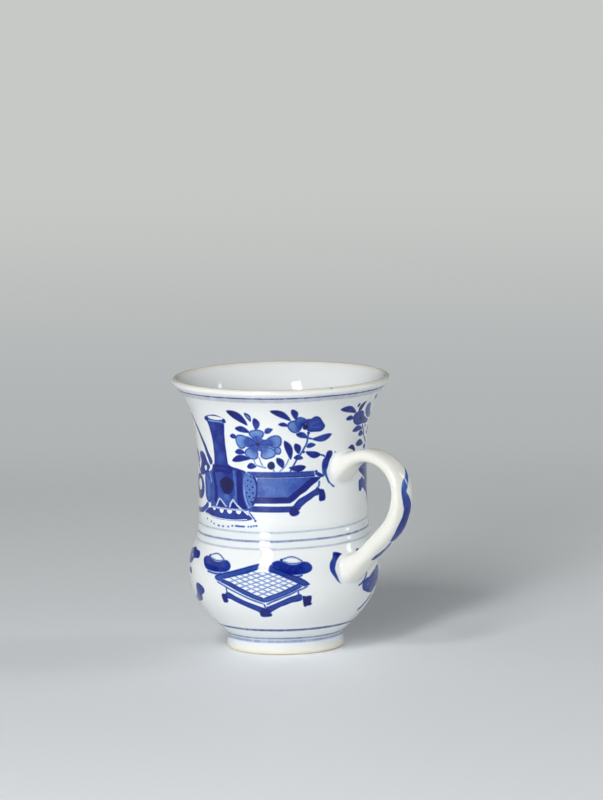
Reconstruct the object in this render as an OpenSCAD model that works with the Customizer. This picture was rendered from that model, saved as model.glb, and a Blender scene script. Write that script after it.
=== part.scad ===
// Handled porcelain cup: a flared neck over a rounded bowl, two raised bands at the waist,
// a turned foot ring, and a strap handle stuck on at two flared seats.
// The axis of the cup is Z, the foot ring stands on Z = 0, and the handle points to +X.

/* [Lip and neck] */
// Height from the table to the top of the lip
height = 93.9; // [86:0.2:102]
// Outer diameter of the lip
lip_d = 75; // [68:0.5:82]
// Thickness of the rounded lip
lip_t = 2.4; // [1.8:0.1:3]
// Angle of the wall just under the lip, above the horizontal
lip_angle = 45; // [35:1:65]
// How far the flare reaches down from the lip
flare_reach = 12.5; // [8:0.5:18]
// Outer diameter of the neck at its narrowest
neck_d = 58; // [54:0.2:62]
// Length over which the neck stays upright
neck_upright = 27.6; // [18:0.2:34]
// Wall thickness of the neck
wall = 2.6; // [2:0.1:3.4]

/* [Waist bands] */
// Height of the lowest groove, where the bowl ends
waist_z = 38.3; // [36:0.1:41]
// Outer diameter at the lowest groove
waist_d = 59.8; // [58:0.2:62]
// Height of the lower raised band
lower_band_h = 2.7; // [1.6:0.1:3.6]
// Height of the upper raised band
upper_band_h = 3; // [1.6:0.1:3.6]
// How far each band stands out
band_rise = 0.2; // [0.1:0.02:0.6]

/* [Bowl] */
// Outer diameter of the bowl at its widest
bowl_d = 65.4; // [62:0.2:69]
// Height of the widest part
bowl_z = 28.2; // [24:0.2:31]
// Wall thickness of the bowl at its widest
bowl_wall = 2.9; // [2.2:0.1:3.6]
// Wall thickness where the bowl runs into the base
heel_wall = 3.4; // [2.6:0.1:4.2]
// Angle at which the bowl leaves the foot ring, above the horizontal
bowl_angle = 41; // [32:1:50]
// Fullness of the bowl below its widest part
bowl_fullness = 0.435; // [0.3:0.005:0.55]
// Fullness of the shoulder above its widest part
shoulder_fullness = 0.36; // [0.25:0.01:0.5]
// Heading at which the shoulder meets the waist, above the horizontal
shoulder_angle = 118; // [100:1:130]
// Height of the inside floor above the table
floor_z = 7.8; // [7:0.1:10]

/* [Foot ring] */
// Outer diameter of the foot ring
foot_d = 40.3; // [36:0.1:43]
// Height of the crease between the foot ring and the bowl
foot_h = 5.6; // [4.4:0.1:7]
// How much narrower the ring is at the crease
foot_draft = 0.35; // [0:0.05:0.8]
// Width of the flat bare land that the cup stands on
land_w = 1.3; // [0.8:0.1:2]
// Radius of the ring's outer lower edge
edge_r = 1.5; // [0.6:0.1:1.9]
// Radius of the ring's inner lower edge
inner_edge_r = 0.4; // [0.2:0.1:0.8]
// How much thicker the ring is at its root than at the land
root_taper = 0.8; // [0:0.1:1.6]
// Height of the glazed base inside the ring
recess_z = 4.2; // [3:0.1:4.8]
// How much the base rises towards its middle
recess_rise = 0.4; // [0:0.1:0.8]
// Radius of the hollow in the crease and at the ring's root
cove = 0.9; // [0.4:0.1:1.2]

/* [Handle] */
// Width of the strap
strap_w = 8.4; // [7:0.1:10]
// Thickness of the strap
strap_t = 4.7; // [3.8:0.1:5.6]
// Thickness of the strap at its heel
heel_t = 6.2; // [4.4:0.1:7]
// Clear space between the neck and the strap at its widest
finger_gap = 24.2; // [20:0.2:28]
// Height of the upper seat's middle
upper_seat_z = 64; // [60:0.2:67]
// Height of the lower seat's middle
lower_seat_z = 29.4; // [27:0.2:32]
// Angle at which the strap leaves the upper seat, above the horizontal
lift_angle = 40; // [20:1:60]
// Rise of the strap's middle line above the upper seat
crown_rise = 5.9; // [3:0.1:8]
// Distance from the neck to the crown of the strap
crown_out = 12.6; // [9:0.2:16]
// Drop from the crown to the outermost point
bow_drop = 11.5; // [8:0.2:15]
// Distance from the outermost point in to the heel of the strap
heel_in = 5.3; // [3:0.1:8]
// Drop from the outermost point to the heel of the strap
heel_drop = 13.2; // [9:0.2:16]
// How much the lower arm bends on its way to the wall, in degrees
arm_bend = 7; // [0:1:15]
// Width of the seats on the wall
seat_w = 12.8; // [10:0.2:15]
// Height of the upper seat on the wall
upper_seat_h = 11; // [8:0.2:13]
// Height of the lower seat on the wall
lower_seat_h = 10.4; // [8:0.2:12]
// How far a seat's flare runs along the strap
flare_len = 10; // [6:0.5:12]
// Section of the strap: 2 is an oval, more is squarer
squareness = 2.5; // [2:0.1:4]

/* [Hidden] */
glaze_white = "#eef1f1";
glaze_cream = "#efede3";
body_facets = 144;
steps = 16;                  // points along one long curve
small_steps = 8;             // points along one short curve
ring_sides = 18;             // points round one section of the strap
gentle = 0.35;               // share of its length over which a gentle curve keeps its heading
quarter = 0.56;              // the same for a curve like a quarter of a circle
flare_fullness = 0.6;        // more makes the seats swell out further along the strap
floor_turn = 0.2;            // where along the bowl's curve the inside floor begins to flatten

lip_r = lip_t / 2;
lip_centre = [lip_d / 2 - lip_r, height - lip_r];
neck_r = neck_d / 2;
bowl_r = bowl_d / 2;
foot_r = foot_d / 2;
upper_groove = [neck_r, waist_z + lower_band_h + upper_band_h];
lower_groove = [waist_d / 2, waist_z];
middle_groove = [
    (neck_r * lower_band_h + lower_groove[0] * upper_band_h) / (lower_band_h + upper_band_h),
    waist_z + lower_band_h
];
crease = [foot_r - foot_draft, foot_h];

function heading(angle) = [cos(angle), sin(angle)];

// Cubic curve that leaves p at one heading and arrives at q at another; each reach says how
// far the curve keeps to its heading.
function curve_point(p, p_angle, p_reach, q, q_angle, q_reach, t) =
    pow(1 - t, 3) * p
    + 3 * t * pow(1 - t, 2) * (p + p_reach * heading(p_angle))
    + 3 * t * t * (1 - t) * (q - q_reach * heading(q_angle))
    + t * t * t * q;
function curve_slope(p, p_angle, p_reach, q, q_angle, q_reach, t) =
    let (
        a = p + p_reach * heading(p_angle),
        b = q - q_reach * heading(q_angle),
        d = pow(1 - t, 2) * (a - p) + 2 * t * (1 - t) * (b - a) + t * t * (q - b)
    )
    atan2(d[1], d[0]);

// The same curve moved to its left by a thickness that changes evenly from one end to the
// other. It may begin part of the way along.
function inset_curve(c, p_wall, q_wall, n, begin = 0) = [
    for (i = [0:n])
        let (
            t = begin + (1 - begin) * i / n,
            a = curve_slope(c[0], c[1], c[2], c[3], c[4], c[5], t)
        )
        curve_point(c[0], c[1], c[2], c[3], c[4], c[5], t)
            + (p_wall * (1 - t) + q_wall * t) * heading(a + 90)
];
function plain_curve(c, n) = inset_curve(c, 0, 0, n);
function backwards(list) = [for (i = [len(list) - 1:-1:0]) list[i]];
function arc(centre, radius, from, to, n) = [
    for (i = [0:n]) centre + radius * heading(from + (to - from) * i / n)
];

// A raised band between two grooves: half a sine wave on the chord.
function band(p, q, n) = [
    for (i = [1:n - 1]) p + (q - p) * i / n + [band_rise * sin(180 * i / n), 0]
];

bowl_start = crease + cove * heading(bowl_angle);
bowl_reach = (bowl_z - foot_h) * bowl_fullness;
bowl_curve = [bowl_start, bowl_angle, bowl_reach, [bowl_r, bowl_z], 90, bowl_reach];
shoulder_reach = (waist_z - bowl_z) * shoulder_fullness;
shoulder_curve = [
    [bowl_r, bowl_z], 90, shoulder_reach, lower_groove, shoulder_angle, shoulder_reach
];
neck_end = lip_centre + lip_r * heading(lip_angle - 90);
neck_curve = [upper_groove, 90, neck_upright, neck_end, lip_angle, flare_reach];

// The outside from the crease to the lip, and its radius at any height.
outer_wall = concat(
    plain_curve([crease - [0, cove], 90, cove / 2, bowl_start, bowl_angle, cove / 2], small_steps),
    plain_curve(bowl_curve, steps),
    plain_curve(shoulder_curve, small_steps),
    band(lower_groove, middle_groove, small_steps),
    [middle_groove],
    band(middle_groove, upper_groove, small_steps),
    plain_curve(neck_curve, steps + small_steps)
);
function wall_radius(z) = lookup(z, [for (p = outer_wall) [p[1], p[0]]]);

// The underside, from the middle of the base to the ring's side.
land_outer_r = foot_r - edge_r;
land_inner_r = land_outer_r - land_w;
root_r = land_inner_r - inner_edge_r - root_taper;
foot_outline = concat(
    plain_curve([[0, recess_z + recess_rise], 0, root_r * gentle,
                 [root_r - cove, recess_z], 0, root_r * gentle], small_steps),
    arc([root_r - cove, recess_z - cove], cove, 80, 0, small_steps),
    arc([land_inner_r, inner_edge_r], inner_edge_r, 180, 270, small_steps),
    arc([land_outer_r, edge_r], edge_r, 270, 360, small_steps)
);

// The inside below the neck: through the waist, down the bowl and across the floor.
inner_bowl = backwards(inset_curve(bowl_curve, heel_wall, bowl_wall, steps, floor_turn));
inner_waist_reach = (upper_groove[1] - bowl_z) / 2;
inner_waist = backwards(plain_curve([
    inner_bowl[0], 90, inner_waist_reach,
    [neck_r - wall, upper_groove[1]], 90, inner_waist_reach
], small_steps));
floor_edge = inner_bowl[steps];
floor_fall = inner_bowl[steps - 1] - floor_edge;
floor_slope = atan2(floor_fall[1], floor_fall[0]);
inner_floor = backwards(plain_curve([
    [0, floor_z], 0, floor_edge[0] / 2,
    floor_edge, floor_slope, (floor_edge[1] - floor_z) / sin(floor_slope)
], small_steps));

module body() {
    color(glaze_white)
        rotate_extrude($fn = body_facets)
            polygon(concat(
                foot_outline,
                outer_wall,
                arc(lip_centre, lip_r, lip_angle - 90, lip_angle + 90, small_steps),
                backwards(inset_curve(neck_curve, wall, lip_t, steps + small_steps)),
                inner_waist,
                inner_bowl,
                inner_floor
            ));
}

// Middle line of the strap in the plane of the handle: from the upper seat over the crown,
// round the bow, past the heel and down to the lower seat. Its ends lie half-way into the wall.
upper_seat = [wall_radius(upper_seat_z) - wall / 2, upper_seat_z];
lower_seat = [wall_radius(lower_seat_z) - bowl_wall / 2, lower_seat_z];
crown = [neck_r + crown_out, upper_seat_z + crown_rise];
bow = [neck_r + finger_gap + strap_t / 2, crown[1] - bow_drop];
heel = bow - [heel_in, heel_drop];
arm = lower_seat - heel;
arm_angle = atan2(arm[1], arm[0]);
lift_reach = (crown[0] - upper_seat[0]) * gentle;
arm_reach = norm(arm) * gentle;
strap_curves = [
    [upper_seat, lift_angle, lift_reach, crown, 0, lift_reach],
    [crown, 0, (bow[0] - crown[0]) * quarter, bow, -90, bow_drop * quarter],
    [bow, -90, heel_drop * gentle, heel, arm_angle + arm_bend / 2, heel_drop * gentle],
    [heel, arm_angle + arm_bend / 2, arm_reach, lower_seat, arm_angle - arm_bend / 2, arm_reach]
];
strap_line = [
    for (c = [0:len(strap_curves) - 1]) for (i = [(c == 0 ? 0 : 1):steps - small_steps / 2])
        let (s = strap_curves[c], t = i / (steps - small_steps / 2))
        concat(curve_point(s[0], s[1], s[2], s[3], s[4], s[5], t),
               [curve_slope(s[0], s[1], s[2], s[3], s[4], s[5], t)])
];
last_ring = len(strap_line) - 1;

// How much of the flare is left at a distance from the seat: 1 at the wall, 0 on the strap.
function flare(point, seat) =
    let (u = norm([point[0] - seat[0], point[1] - seat[1]]) / flare_len)
    u >= 1 ? 0 : pow(1 - u, 2) * (1 + flare_fullness * u);
function signed_power(x, e) = sign(x) * pow(abs(x), e);

// How much of the heel's extra thickness the strap has at a height below the bow.
function heel_share(z) =
    let (u = max(0, min(1, (bow[1] - z) / heel_drop)))
    u * u * (3 - 2 * u);

// One section of the strap. On the wall it stands upright and bends round the cup; along the
// flare it turns square to the middle line.
function strap_ring(i) =
    let (
        p = strap_line[i],
        top = flare(p, upper_seat),
        low = flare(p, lower_seat),
        near = max(top, low),
        tilt = p[2] * (1 - near) + (low > top ? -180 : 0) * near,
        half_w = (strap_w + (seat_w - strap_w) * near) / 2,
        own_t = strap_t + (heel_t - strap_t) * heel_share(p[1]),
        half_t = (own_t + (upper_seat_h - own_t) * top + (lower_seat_h - own_t) * low) / 2,
        bend_r = p[0]
    )
    [for (k = [0:ring_sides - 1])
        let (
            a = 360 * k / ring_sides,
            y = half_w * signed_power(cos(a), 2 / squareness),
            n = half_t * signed_power(sin(a), 2 / squareness)
        )
        [p[0] - n * sin(tilt) - near * (bend_r - sqrt(bend_r * bend_r - y * y)), y,
         p[1] + n * cos(tilt)]
    ];

module handle() {
    rings = [for (i = [0:last_ring]) strap_ring(i)];
    points = concat(
        [for (r = rings) each r],
        [[upper_seat[0], 0, upper_seat[1]], [lower_seat[0], 0, lower_seat[1]]]
    );
    first_cap = len(points) - 2;
    second_cap = len(points) - 1;
    sides = [for (i = [0:last_ring - 1]) for (k = [0:ring_sides - 1])
        let (
            next = (k + 1) % ring_sides,
            a = i * ring_sides + k,
            b = i * ring_sides + next,
            c = a + ring_sides,
            d = b + ring_sides
        )
        each [[a, d, b], [a, c, d]]
    ];
    start_cap = [for (k = [0:ring_sides - 1]) [first_cap, k, (k + 1) % ring_sides]];
    end_cap = [for (k = [0:ring_sides - 1])
        [second_cap, last_ring * ring_sides + (k + 1) % ring_sides, last_ring * ring_sides + k]
    ];
    color(glaze_cream)
        polyhedron(points, concat(sides, start_cap, end_cap));
}

module cup() {
    union() {
        body();
        handle();
    }
}

cup();
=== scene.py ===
"""Looks of a blue-and-white porcelain handled cup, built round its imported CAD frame.

The cup is one glazed piece. Its outside is painted by hand: a vase, low tables and flower sprays
round the neck, gaming tables with round boxes round the bowl, and thin rings between them. Each
painted shape is an outline on the unrolled wall, and the wall's mesh follows every outline.

The axis of the cup is Z, it stands on Z = 0, and its handle points to +X. Lengths are in
millimetres until a mesh, a lamp or the camera is made.
"""

import math
from types import SimpleNamespace
from typing import NamedTuple

import bpy
import numpy as np
from bpy.props import FloatProperty, FloatVectorProperty, PointerProperty
from mathutils import Matrix, Vector
from mathutils.geometry import delaunay_2d_cdt


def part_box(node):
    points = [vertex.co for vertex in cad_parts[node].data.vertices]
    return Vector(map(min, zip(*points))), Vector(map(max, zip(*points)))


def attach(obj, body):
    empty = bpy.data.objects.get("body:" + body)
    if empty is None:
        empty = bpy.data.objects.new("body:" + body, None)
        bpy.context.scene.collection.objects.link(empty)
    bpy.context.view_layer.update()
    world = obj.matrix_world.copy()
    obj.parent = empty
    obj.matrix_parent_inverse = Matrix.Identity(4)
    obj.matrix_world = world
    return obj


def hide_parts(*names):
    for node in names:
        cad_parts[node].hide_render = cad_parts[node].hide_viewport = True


bl_info = {
    "name": "Blue-and-white handled cup",
    "version": (1, 0, 0),
    "blender": (4, 5, 0),
    "location": "3D View > Sidebar > Cup",
    "description": "Builds a painted porcelain cup and the stage that it stands on",
    "category": "Add Mesh",
}

MM = 0.001
TINY = 1e-6
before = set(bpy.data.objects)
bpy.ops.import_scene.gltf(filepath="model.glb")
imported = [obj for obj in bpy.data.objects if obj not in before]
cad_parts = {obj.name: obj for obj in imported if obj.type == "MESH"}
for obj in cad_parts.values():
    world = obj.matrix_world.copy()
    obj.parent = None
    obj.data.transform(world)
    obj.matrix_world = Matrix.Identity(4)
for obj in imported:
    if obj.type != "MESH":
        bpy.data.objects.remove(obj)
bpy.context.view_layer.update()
cup_low, cup_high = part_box("cup")


# Sizes and colours that a user would change

def length(name, text, metres):
    """A length property."""
    return FloatProperty(name=name, description=text, default=metres, unit="LENGTH", precision=5)


def power(name, text, watts):
    """A lamp's power as a property."""
    return FloatProperty(name=name, description=text, default=watts, unit="POWER")


def colour(name, text, red, green, blue):
    """A colour property from the three numbers that a paint program shows, 0 to 255."""
    value = [linear(part / 255) for part in (red, green, blue)]
    return FloatVectorProperty(
        name=name, description=text, default=value, subtype="COLOR", size=3, min=0, max=1
    )


def linear(value):
    """A screen value turned into light: the sRGB curve."""
    return value / 12.92 if value <= 0.04045 else ((value + 0.055) / 1.055) ** 2.4


class CupShape(bpy.types.PropertyGroup):
    """Driving sizes of the cup. The lip, the height and the handle's reach come from the frame."""

    height: length("Height", "From the table to the top of the lip", cup_high.z)
    lip_d: length("Lip diameter", "Outer diameter of the lip", cup_high.y - cup_low.y)
    reach: length("Handle reach", "From the axis to the outside of the handle", cup_high.x)
    lip_t: length("Lip thickness", "Thickness of the rounded lip", 2.4 * MM)
    wall: length("Wall", "Wall thickness of the neck", 2.6 * MM)
    neck_d: length("Neck diameter", "Outer diameter of the neck at its narrowest", 58 * MM)
    waist_z: length("Waist height", "Height of the lowest groove", 38.3 * MM)
    waist_d: length("Waist diameter", "Outer diameter at the lowest groove", 59.8 * MM)
    lower_band_h: length("Lower band", "Height of the lower raised band", 2.7 * MM)
    upper_band_h: length("Upper band", "Height of the upper raised band", 3 * MM)
    bowl_d: length("Bowl diameter", "Outer diameter of the bowl at its widest", 65.4 * MM)
    bowl_z: length("Bowl height", "Height of the bowl's widest part", 28.2 * MM)
    floor_z: length("Inside floor", "Height of the inside floor above the table", 7.8 * MM)
    foot_d: length("Foot diameter", "Outer diameter of the foot ring", 40.3 * MM)
    foot_h: length("Foot height", "Height of the crease over the foot ring", 5.6 * MM)
    strap_w: length("Strap width", "Width of the handle's strap", 8.4 * MM)
    strap_t: length("Strap thickness", "Thickness of the handle's strap", 4.7 * MM)
    heel_t: length("Heel thickness", "Thickness of the strap at its heel", 6.2 * MM)
    upper_seat_z: length("Upper seat", "Height of the upper seat's middle", 64 * MM)
    lower_seat_z: length("Lower seat", "Height of the lower seat's middle", 29.4 * MM)
    seat_w: length("Seat width", "Width of the seats on the wall", 12.8 * MM)
    upper_seat_h: length("Upper seat height", "Height of the upper seat on the wall", 11 * MM)
    lower_seat_h: length("Lower seat height", "Height of the lower seat on the wall", 10.4 * MM)
    flare_len: length("Flare", "How far a seat's flare runs along the strap", 10 * MM)


class CupColours(bpy.types.PropertyGroup):
    """Colours of the glaze, of the bare clay and of the cobalt from its palest to its darkest."""

    glaze: colour("Glaze", "Clear glaze over the white body", 227, 230, 230)
    pooled: colour("Pooled glaze", "Glaze where it lies thick", 206, 217, 224)
    cream: colour("Cream glaze", "Warmer glaze on the handle and the edges", 227, 227, 219)
    bare: colour("Bare clay", "Unglazed land under the foot", 222, 212, 190)
    wash: colour("Pale wash", "Thinnest cobalt wash", 106, 142, 198)
    middle: colour("Middle blue", "Full wash of cobalt", 42, 74, 158)
    deep: colour("Deep blue", "Heavy brush of cobalt", 2, 20, 122)
    darkest: colour("Darkest blue", "Cobalt where the brush rested", 5, 6, 62)
    ring: colour("Ring blue", "Thin painted rings", 54, 84, 150)
    stain: colour("Stain", "Small brown marks", 118, 90, 66)


class StageLook(bpy.types.PropertyGroup):
    """Colours and lamps of the stage."""

    floor: colour("Floor", "Colour of the floor in front of the cup", 245, 248, 250)
    far_floor: colour("Far floor", "Colour of the floor behind the cup", 249, 252, 253)
    # Painted shade: the backdrop glows for the camera and reflections, darker low behind the cup
    # and lighter higher up, as the studio's light fell on it
    backdrop: colour("Backdrop", "Colour seen low behind the cup", 176, 180, 181)
    far_backdrop: colour("Far backdrop", "Colour seen high behind the cup", 199, 201, 198)
    key: power("Key", "Power of the tall lamp at the left", 9.2)
    glint: power("Glint", "Power of the highlight below the tall lamp's", 12)
    front: power("Front", "Power of the broad lamp beside the camera", 23.5)
    left: power("Left", "Power of the broad lamp at the far left", 1.3)
    side: power("Side", "Power of the narrow lamp at the right", 0.9)
    low: power("Low", "Power of the low lamp at the right", 3.1)
    sky: FloatProperty(name="Sky", description="Strength of the light from all round", default=0.15)


# Shape of the cup, in the half plane of radius and height

LIP_ANGLE = 45
FLARE_REACH = 12.5
NECK_UPRIGHT = 27.6
BAND_RISE = 0.2
BOWL_WALL = 2.9
HEEL_WALL = 3.4
BOWL_ANGLE = 41
BOWL_FULLNESS = 0.435
SHOULDER_FULLNESS = 0.36
SHOULDER_ANGLE = 118
FLOOR_TURN = 0.2
FOOT_DRAFT = 0.35
LAND_W = 1.3
EDGE_R = 1.5
INNER_EDGE_R = 0.4
ROOT_TAPER = 0.8
RECESS_Z = 4.2
RECESS_RISE = 0.4
COVE = 0.9
GENTLE = 0.35
QUARTER = 0.56


def sizes(shape):
    """The shape's properties in millimetres, with the points that several curves share."""
    s = SimpleNamespace(**{name: getattr(shape, name) / MM for name in shape.__annotations__})
    s.lip_r = s.lip_t / 2
    s.lip_centre = np.array((s.lip_d / 2 - s.lip_r, s.height - s.lip_r))
    s.neck_r = s.neck_d / 2
    s.bowl_r = s.bowl_d / 2
    s.waist_r = s.waist_d / 2
    band_h = s.lower_band_h + s.upper_band_h
    s.lower_groove = np.array((s.waist_r, s.waist_z))
    middle_r = (s.neck_r * s.lower_band_h + s.waist_r * s.upper_band_h) / band_h
    s.middle_groove = np.array((middle_r, s.waist_z + s.lower_band_h))
    s.upper_groove = np.array((s.neck_r, s.waist_z + band_h))
    s.crease = np.array((s.foot_d / 2 - FOOT_DRAFT, s.foot_h))
    s.bowl_start = s.crease + COVE * heading(BOWL_ANGLE)
    s.neck_end = s.lip_centre + s.lip_r * heading(LIP_ANGLE - 90)
    bowl_reach = (s.bowl_z - s.foot_h) * BOWL_FULLNESS
    widest = np.array((s.bowl_r, s.bowl_z))
    s.bowl_curve = (s.bowl_start, BOWL_ANGLE, bowl_reach, widest, 90, bowl_reach)
    reach = (s.waist_z - s.bowl_z) * SHOULDER_FULLNESS
    s.shoulder_curve = (widest, 90, reach, s.lower_groove, SHOULDER_ANGLE, reach)
    s.neck_curve = (s.upper_groove, 90, NECK_UPRIGHT, s.neck_end, LIP_ANGLE, FLARE_REACH)
    return s


def heading(degrees):
    """The unit vector at an angle from the outward radius round to +Z."""
    angle = math.radians(degrees)
    return np.array((math.cos(angle), math.sin(angle)))


def unit(vectors):
    """The vectors at a length of 1."""
    return vectors / np.maximum(np.linalg.norm(vectors, axis=-1, keepdims=True), TINY)


def run_along(line):
    """The distance of each point of a line from its first, along the line."""
    steps = np.linalg.norm(np.diff(line, axis=0), axis=1)
    return np.concatenate(((0,), np.cumsum(steps)))


def cubic(t, p, a, b, q):
    """A cubic curve from p to q that leaves towards a and arrives from b."""
    return (1 - t) ** 3 * p + 3 * t * (1 - t) ** 2 * a + 3 * t * t * (1 - t) * b + t**3 * q


def curve(c, n, begin=0.0, p_inset=0.0, q_inset=0.0):
    """n + 1 points of a cubic curve that leaves p at one heading and arrives at q at another.

    With an inset, each point is moved to the curve's left by a thickness that changes evenly
    from one end to the other.
    """
    p, p_angle, p_reach, q, q_angle, q_reach = c
    p, q = np.asarray(p, float), np.asarray(q, float)
    t = np.linspace(begin, 1, n + 1)[:, None]
    a = p + p_reach * heading(p_angle)
    b = q - q_reach * heading(q_angle)
    slope = unit((1 - t) ** 2 * (a - p) + 2 * t * (1 - t) * (b - a) + t * t * (q - b))
    left = np.stack((-slope[:, 1], slope[:, 0]), 1)
    return cubic(t, p, a, b, q) + (p_inset * (1 - t) + q_inset * t) * left


def arc(centre, radius, start, end, n):
    """n + 1 points of a circle's arc between two headings."""
    angle = np.radians(np.linspace(start, end, n + 1))
    return centre + radius * np.stack((np.cos(angle), np.sin(angle)), 1)


def band(p, q, n):
    """A raised band between two grooves: half a sine wave on the chord."""
    t = np.linspace(0, 1, n + 1)[:, None]
    return p + (q - p) * t + np.hstack((BAND_RISE * np.sin(math.pi * t), 0 * t))


def joined(runs):
    """The runs one after another, each without its first point where the last run ended."""
    return np.vstack([runs[0]] + [run[1:] for run in runs[1:]])


def underside(s, fine):
    """From the middle of the recessed base over the root to the land of the foot ring."""
    land_outer = s.foot_d / 2 - EDGE_R
    land_inner = land_outer - LAND_W
    root_r = land_inner - INNER_EDGE_R - ROOT_TAPER
    base_edge = (root_r - COVE, RECESS_Z)
    base = ((0, RECESS_Z + RECESS_RISE), 0, root_r * GENTLE, base_edge, 0, root_r * GENTLE)
    cove = arc(np.array((root_r - COVE, RECESS_Z - COVE)), COVE, 90, 0, 4 * fine)
    inner = arc(np.array((land_inner, INNER_EDGE_R)), INNER_EDGE_R, 180, 270, 3 * fine)
    root = np.linspace(cove[-1], inner[0], 2 * fine + 1)
    land = np.linspace(inner[-1], (land_outer, 0), fine + 1)
    return joined((curve(base, 8 * fine), cove, root, inner, land))


def foot_side(s, fine):
    """From the land of the foot ring up its side and over the crease to the bowl."""
    outer = arc(np.array((s.foot_d / 2 - EDGE_R, EDGE_R)), EDGE_R, 270, 360, 6 * fine)
    crease = (s.crease - (0, COVE), 90, COVE / 2, s.bowl_start, BOWL_ANGLE, COVE / 2)
    side = np.linspace(outer[-1], s.crease - (0, COVE), 4 * fine + 1)
    return joined((outer, side, curve(crease, 4 * fine)))


def outside(s, fine):
    """From the start of the bowl through the waist bands to the underside of the lip."""
    return joined((
        curve(s.bowl_curve, 24 * fine),
        curve(s.shoulder_curve, 10 * fine),
        band(s.lower_groove, s.middle_groove, 6 * fine),
        band(s.middle_groove, s.upper_groove, 6 * fine),
        curve(s.neck_curve, 46 * fine),
    ))


def inside(s, fine):
    """From the underside of the lip over the lip, down the inside and across the floor."""
    neck = curve(s.neck_curve, 36 * fine, p_inset=s.wall, q_inset=s.lip_t)[::-1]
    bowl = curve(s.bowl_curve, 18 * fine, FLOOR_TURN, HEEL_WALL, BOWL_WALL)[::-1]
    reach = (s.upper_groove[1] - s.bowl_z) / 2
    waist = curve((bowl[0], 90, reach, neck[-1], 90, reach), 12 * fine)[::-1]
    edge, before = bowl[-1], bowl[-2]
    slope = math.degrees(math.atan2(before[1] - edge[1], before[0] - edge[0]))
    floor_reach = (edge[1] - s.floor_z) / math.sin(math.radians(slope))
    floor = curve(((0, s.floor_z), 0, edge[0] / 2, edge, slope, floor_reach), 8 * fine)[::-1]
    lip = arc(s.lip_centre, s.lip_r, LIP_ANGLE - 90, LIP_ANGLE + 90, 10 * fine)
    return joined((lip, neck, waist, bowl, floor))


FINE = 12


def section(s):
    """The whole section as four lines of rows, each a list of (r, z, normal r, normal z).

    The normals are the slopes of the same curves FINE times as dense, turned to the right.
    """
    parts = [part(s, FINE) for part in (underside, foot_side, outside, inside)]
    whole = joined(parts)
    step = unit(np.gradient(whole, axis=0))
    table = np.hstack((whole, step[:, 1:], -step[:, :1]))
    ends = np.cumsum([0] + [len(part) - 1 for part in parts])
    return [table[a : b + 1] for a, b in zip(ends, ends[1:])]


# Painting kit: outlines in millimetres on the unrolled wall, each with its tone

# The wall is unrolled at one radius, and the paintings are measured along it at two others,
# from the middle of the painted front, which is turned away from the handle.
SCALE_R = 30.0
NECK_R = 29.0
BOWL_R = 32.0
FRONT = math.radians(-46.5)
HANDLE_TURN = -FRONT
# Tones of the cobalt, from a thin wash to where the brush rested
PALE, LIGHT, HALF, FULL, DARK, DARKEST = 0.25, 0.38, 0.6, 0.78, 0.92, 1.08
WHITE = 0
OUTLINE = 0.1
# The cobalt bleeds this far into the glaze round a shape, with this share of its tone
BLEED = 0.22
BLEED_TONE = 0.3
BLEED_LEAST = 0.3
STROKE_END = 1.2
OVAL_POINTS = 21
LEAF_STEPS = 12
LEAF_BLUNT = 0.8
LEAF_FULLER = 0.18
# Spots of a leaf's middle and of its tip: size in widths of the leaf, change of tone
LEAF_SPOTS = ((0.5, -0.12), (0.6, 0.08))
# Spots of a petal: place outwards and size in widths of the petal, change of tone
PETAL_SPOTS = ((-0.38, 0.34, 0.34), (0.16, 0.3, -0.1))
PETAL_LOBES = (0.07, 0.09)


def through(points, closed=False, gap=0.5):
    """Points along a smooth curve through the given ones, a Catmull-Rom curve: at each point
    it runs along the line from the point before to the point after."""
    p = np.array(points, float)
    if closed:
        p = np.vstack((p[-1], p, p[0], p[1]))
    else:
        p = np.vstack((2 * p[0] - p[1], p, 2 * p[-1] - p[-2]))
    out = []
    for a, b, c, d in zip(p, p[1:], p[2:], p[3:]):
        n = max(1, math.ceil(np.linalg.norm(c - b) / gap))
        t = np.arange(n)[:, None] / n
        bend = (2 * a - 5 * b + 4 * c - d) * t * t + (3 * b - 3 * c + d - a) * t**3
        out.append(b + ((c - a) * t + bend) / 2)
    if not closed:
        out.append(p[-2:-1])
    return np.vstack(out)


def turned_left(outline):
    """The outline, so that it runs round its inside counter-clockwise."""
    x, z = outline.T
    area = np.dot(x, np.roll(z, -1)) - np.dot(z, np.roll(x, -1))
    return outline if area > 0 else outline[::-1]


def spread(outline, distance):
    """The outline moved outwards by a distance, square to the line between its neighbours."""
    outline = turned_left(outline)
    step = unit(np.roll(outline, -1, 0) - np.roll(outline, 1, 0))
    return outline + distance * np.stack((step[:, 1], -step[:, 0]), 1)


class Shape(NamedTuple):
    """A painted shape: its outline, its tone, and spots (x, z, size, change) where the tone
    rises or falls by a bell curve."""

    outline: np.ndarray
    tone: float
    spots: tuple = ()


def blot(points, tone, spots=()):
    """A closed shape with a smooth outline through the points."""
    return [Shape(through(points, closed=True), tone, spots)]


def panel(points, tone, spots=()):
    """A closed shape with straight sides."""
    return [Shape(np.array(points, float), tone, spots)]


def washed(points, fill, edge, width=0.4, spots=()):
    """A wash of one tone inside an outline of a darker one."""
    outline = through(points, closed=True)
    return [Shape(outline, edge), Shape(spread(outline, -width), fill, spots)]


def stroke(points, width, tone, spots=()):
    """A brush stroke: half its width to each side of a smooth line, with ends that are
    rounded off as an ellipse is.

    The width is one number, or several that are spaced evenly along the stroke.
    """
    line = through(points)
    step = unit(np.gradient(line, axis=0))
    along = run_along(line)
    widths = np.atleast_1d(width).astype(float)
    half = np.interp(along / along[-1], np.linspace(0, 1, len(widths)), widths) / 2
    end = np.minimum(along, along[-1] - along)
    half = half * np.sqrt(1 - (1 - np.minimum(1, end / (STROKE_END * half))) ** 2)
    side = half[:, None] * np.stack((-step[:, 1], step[:, 0]), 1)
    return [Shape(np.vstack((line - side, (line + side)[::-1])), tone, spots)]


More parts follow.
